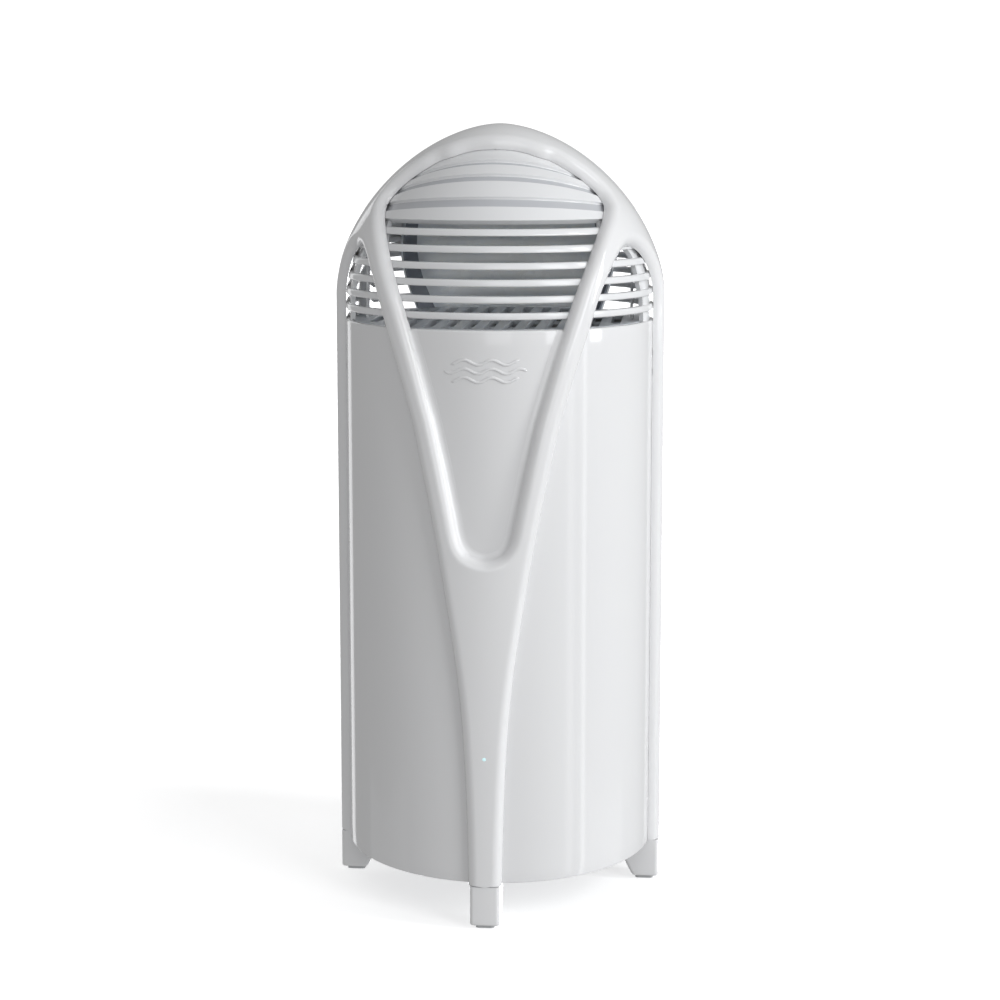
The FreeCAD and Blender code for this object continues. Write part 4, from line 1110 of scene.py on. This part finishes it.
@dataclass
class Studio:
    """Pale floor, soft lights and the camera."""

    azimuth: float = 5.25
    distance: float = 0.760
    eye: float = 0.280
    lens: float = 72.5
    shift: float = -0.085
    horizon: float = 0.35
    surround: float = 0.37
    backdrop: float = 1.1
    lamps: Tuple[Lamp, ...] = (
        Lamp("key_right", 79.0, 20.0, 0.35, 1.6, 8.58), Lamp("key_front", 48.0, 20.0, 0.7, 1.6, 3.53),
        Lamp("streak_wide", 58.0, 0.0, 0.2, 2.2, 0.96), Lamp("streak_thin", 69.5, -4.0, 0.11, 2.2, 2.4),
        Lamp("front", 4.0, 20.0, 0.7, 1.6, 1.37), Lamp("front_right", 26.0, 20.0, 0.7, 1.6, 0.14),
        Lamp("rear_left", -147.0, -2.0, 0.4, 2.2, 1.0), Lamp("low_right", 90.0, -35.0, 1.4, 1.0, 0.5),
        Lamp("low_left", -90.0, -35.0, 1.4, 1.0, 0.25), Lamp("rear", 180.0, -15.0, 1.2, 1.0, 5.0))

    def _floor(self) -> None:
        """A wide pale disc at the height where the feet stand; it glows more with distance."""
        turn = np.linspace(0.0, 2.0 * math.pi, 96, endpoint=False)[None, :]
        radius = np.array([0.0, 0.3, 1.0, 3.0, 9.0])[:, None]
        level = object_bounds()[0].z
        points = np.stack([radius * np.cos(turn), radius * np.sin(turn), level + 0.0 * radius * turn], axis=-1)
        floor = Surface().grid(points, around=True).piece("studio_floor")
        dress(floor, Finish("studio_white", (0.9, 0.9, 0.9), (0.89, 0.89, 0.895), 0.75, 0.05, broad=3.0,
                            grain=60.0, bump=0.01))
        tree = floor.data.materials[0].node_tree
        shader = next(node for node in tree.nodes if node.type == "BSDF_PRINCIPLED")
        graph = Graph(tree, empty=False)
        place = graph.add("TexCoord")
        length = graph.add("VectorMath", operation="LENGTH")
        glow = graph.add("MapRange", {"From Min": 0.15, "From Max": 0.6, "To Min": 0.55, "To Max": 1.0})
        graph.join(place, "Object", length, "Vector")
        graph.join(length, "Value", glow, "Value")
        graph.join(glow, "Result", shader, "Emission Strength")
        shader.inputs["Emission Color"].default_value = (1.0, 1.0, 1.0, 1.0)
        if floor.data.polygons[0].normal.z < 0.0:
            floor.data.flip_normals()
        floor.visible_diffuse = floor.visible_glossy = floor.visible_shadow = False
        floor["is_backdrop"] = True

    def _world(self) -> None:
        """A surround that is white where the camera sees it and gives little light."""
        world = bpy.data.worlds.new("studio")
        bpy.context.scene.world = world
        world.use_nodes = True
        graph = Graph(world.node_tree)
        output = graph.add("OutputWorld")
        seen = graph.add("Background", {"Color": (1.0, 1.0, 1.0, 1.0)})
        strength = graph.add("MapRange", {"To Min": self.surround, "To Max": self.backdrop})
        graph.join(graph.add("LightPath"), "Is Camera Ray", strength, "Value")
        graph.join(strength, "Result", seen, "Strength")
        graph.join(seen, "Background", output, "Surface")

    def _camera(self) -> None:
        """Place the camera at eye height, pitched down by what the shift leaves over."""
        data = bpy.data.cameras.new("studio_camera")
        data.lens = self.lens
        data.shift_y = self.shift
        data.clip_start, data.clip_end = 0.01, 50.0
        camera = bpy.data.objects.new("studio_camera", data)
        turn = math.radians(self.azimuth)
        camera.location = (self.distance * math.sin(turn), -self.distance * math.cos(turn), self.eye)
        pitch = math.atan((self.horizon + self.shift) * data.sensor_width / data.lens)
        camera.rotation_euler = (0.5 * math.pi - pitch, 0.0, turn)
        bpy.context.scene.collection.objects.link(camera)
        bpy.context.scene.camera = camera

    def build(self) -> None:
        """Set up the floor, the lights, the surround and the camera."""
        self._floor()
        self._world()
        for lamp in self.lamps:
            lamp.place()
        self._camera()
        bpy.context.scene.view_settings.view_transform = "Standard"


def main() -> None:
    """Build the sub-assemblies in order, then the studio."""
    logging.basicConfig(level=logging.INFO, format="%(message)s")
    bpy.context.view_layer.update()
    sizes = Sizes()
    skin = sizes.envelope()
    dress_packed_nodes()
    Studio().build()
    OuterFrame(sizes, skin).build()
    Body(sizes).build()
    Dome(sizes, skin).build()
    Shield(sizes, skin).build()
    Feet().build()
    Light().build()
    Waves().build()


if __name__ == "__main__":
    main()
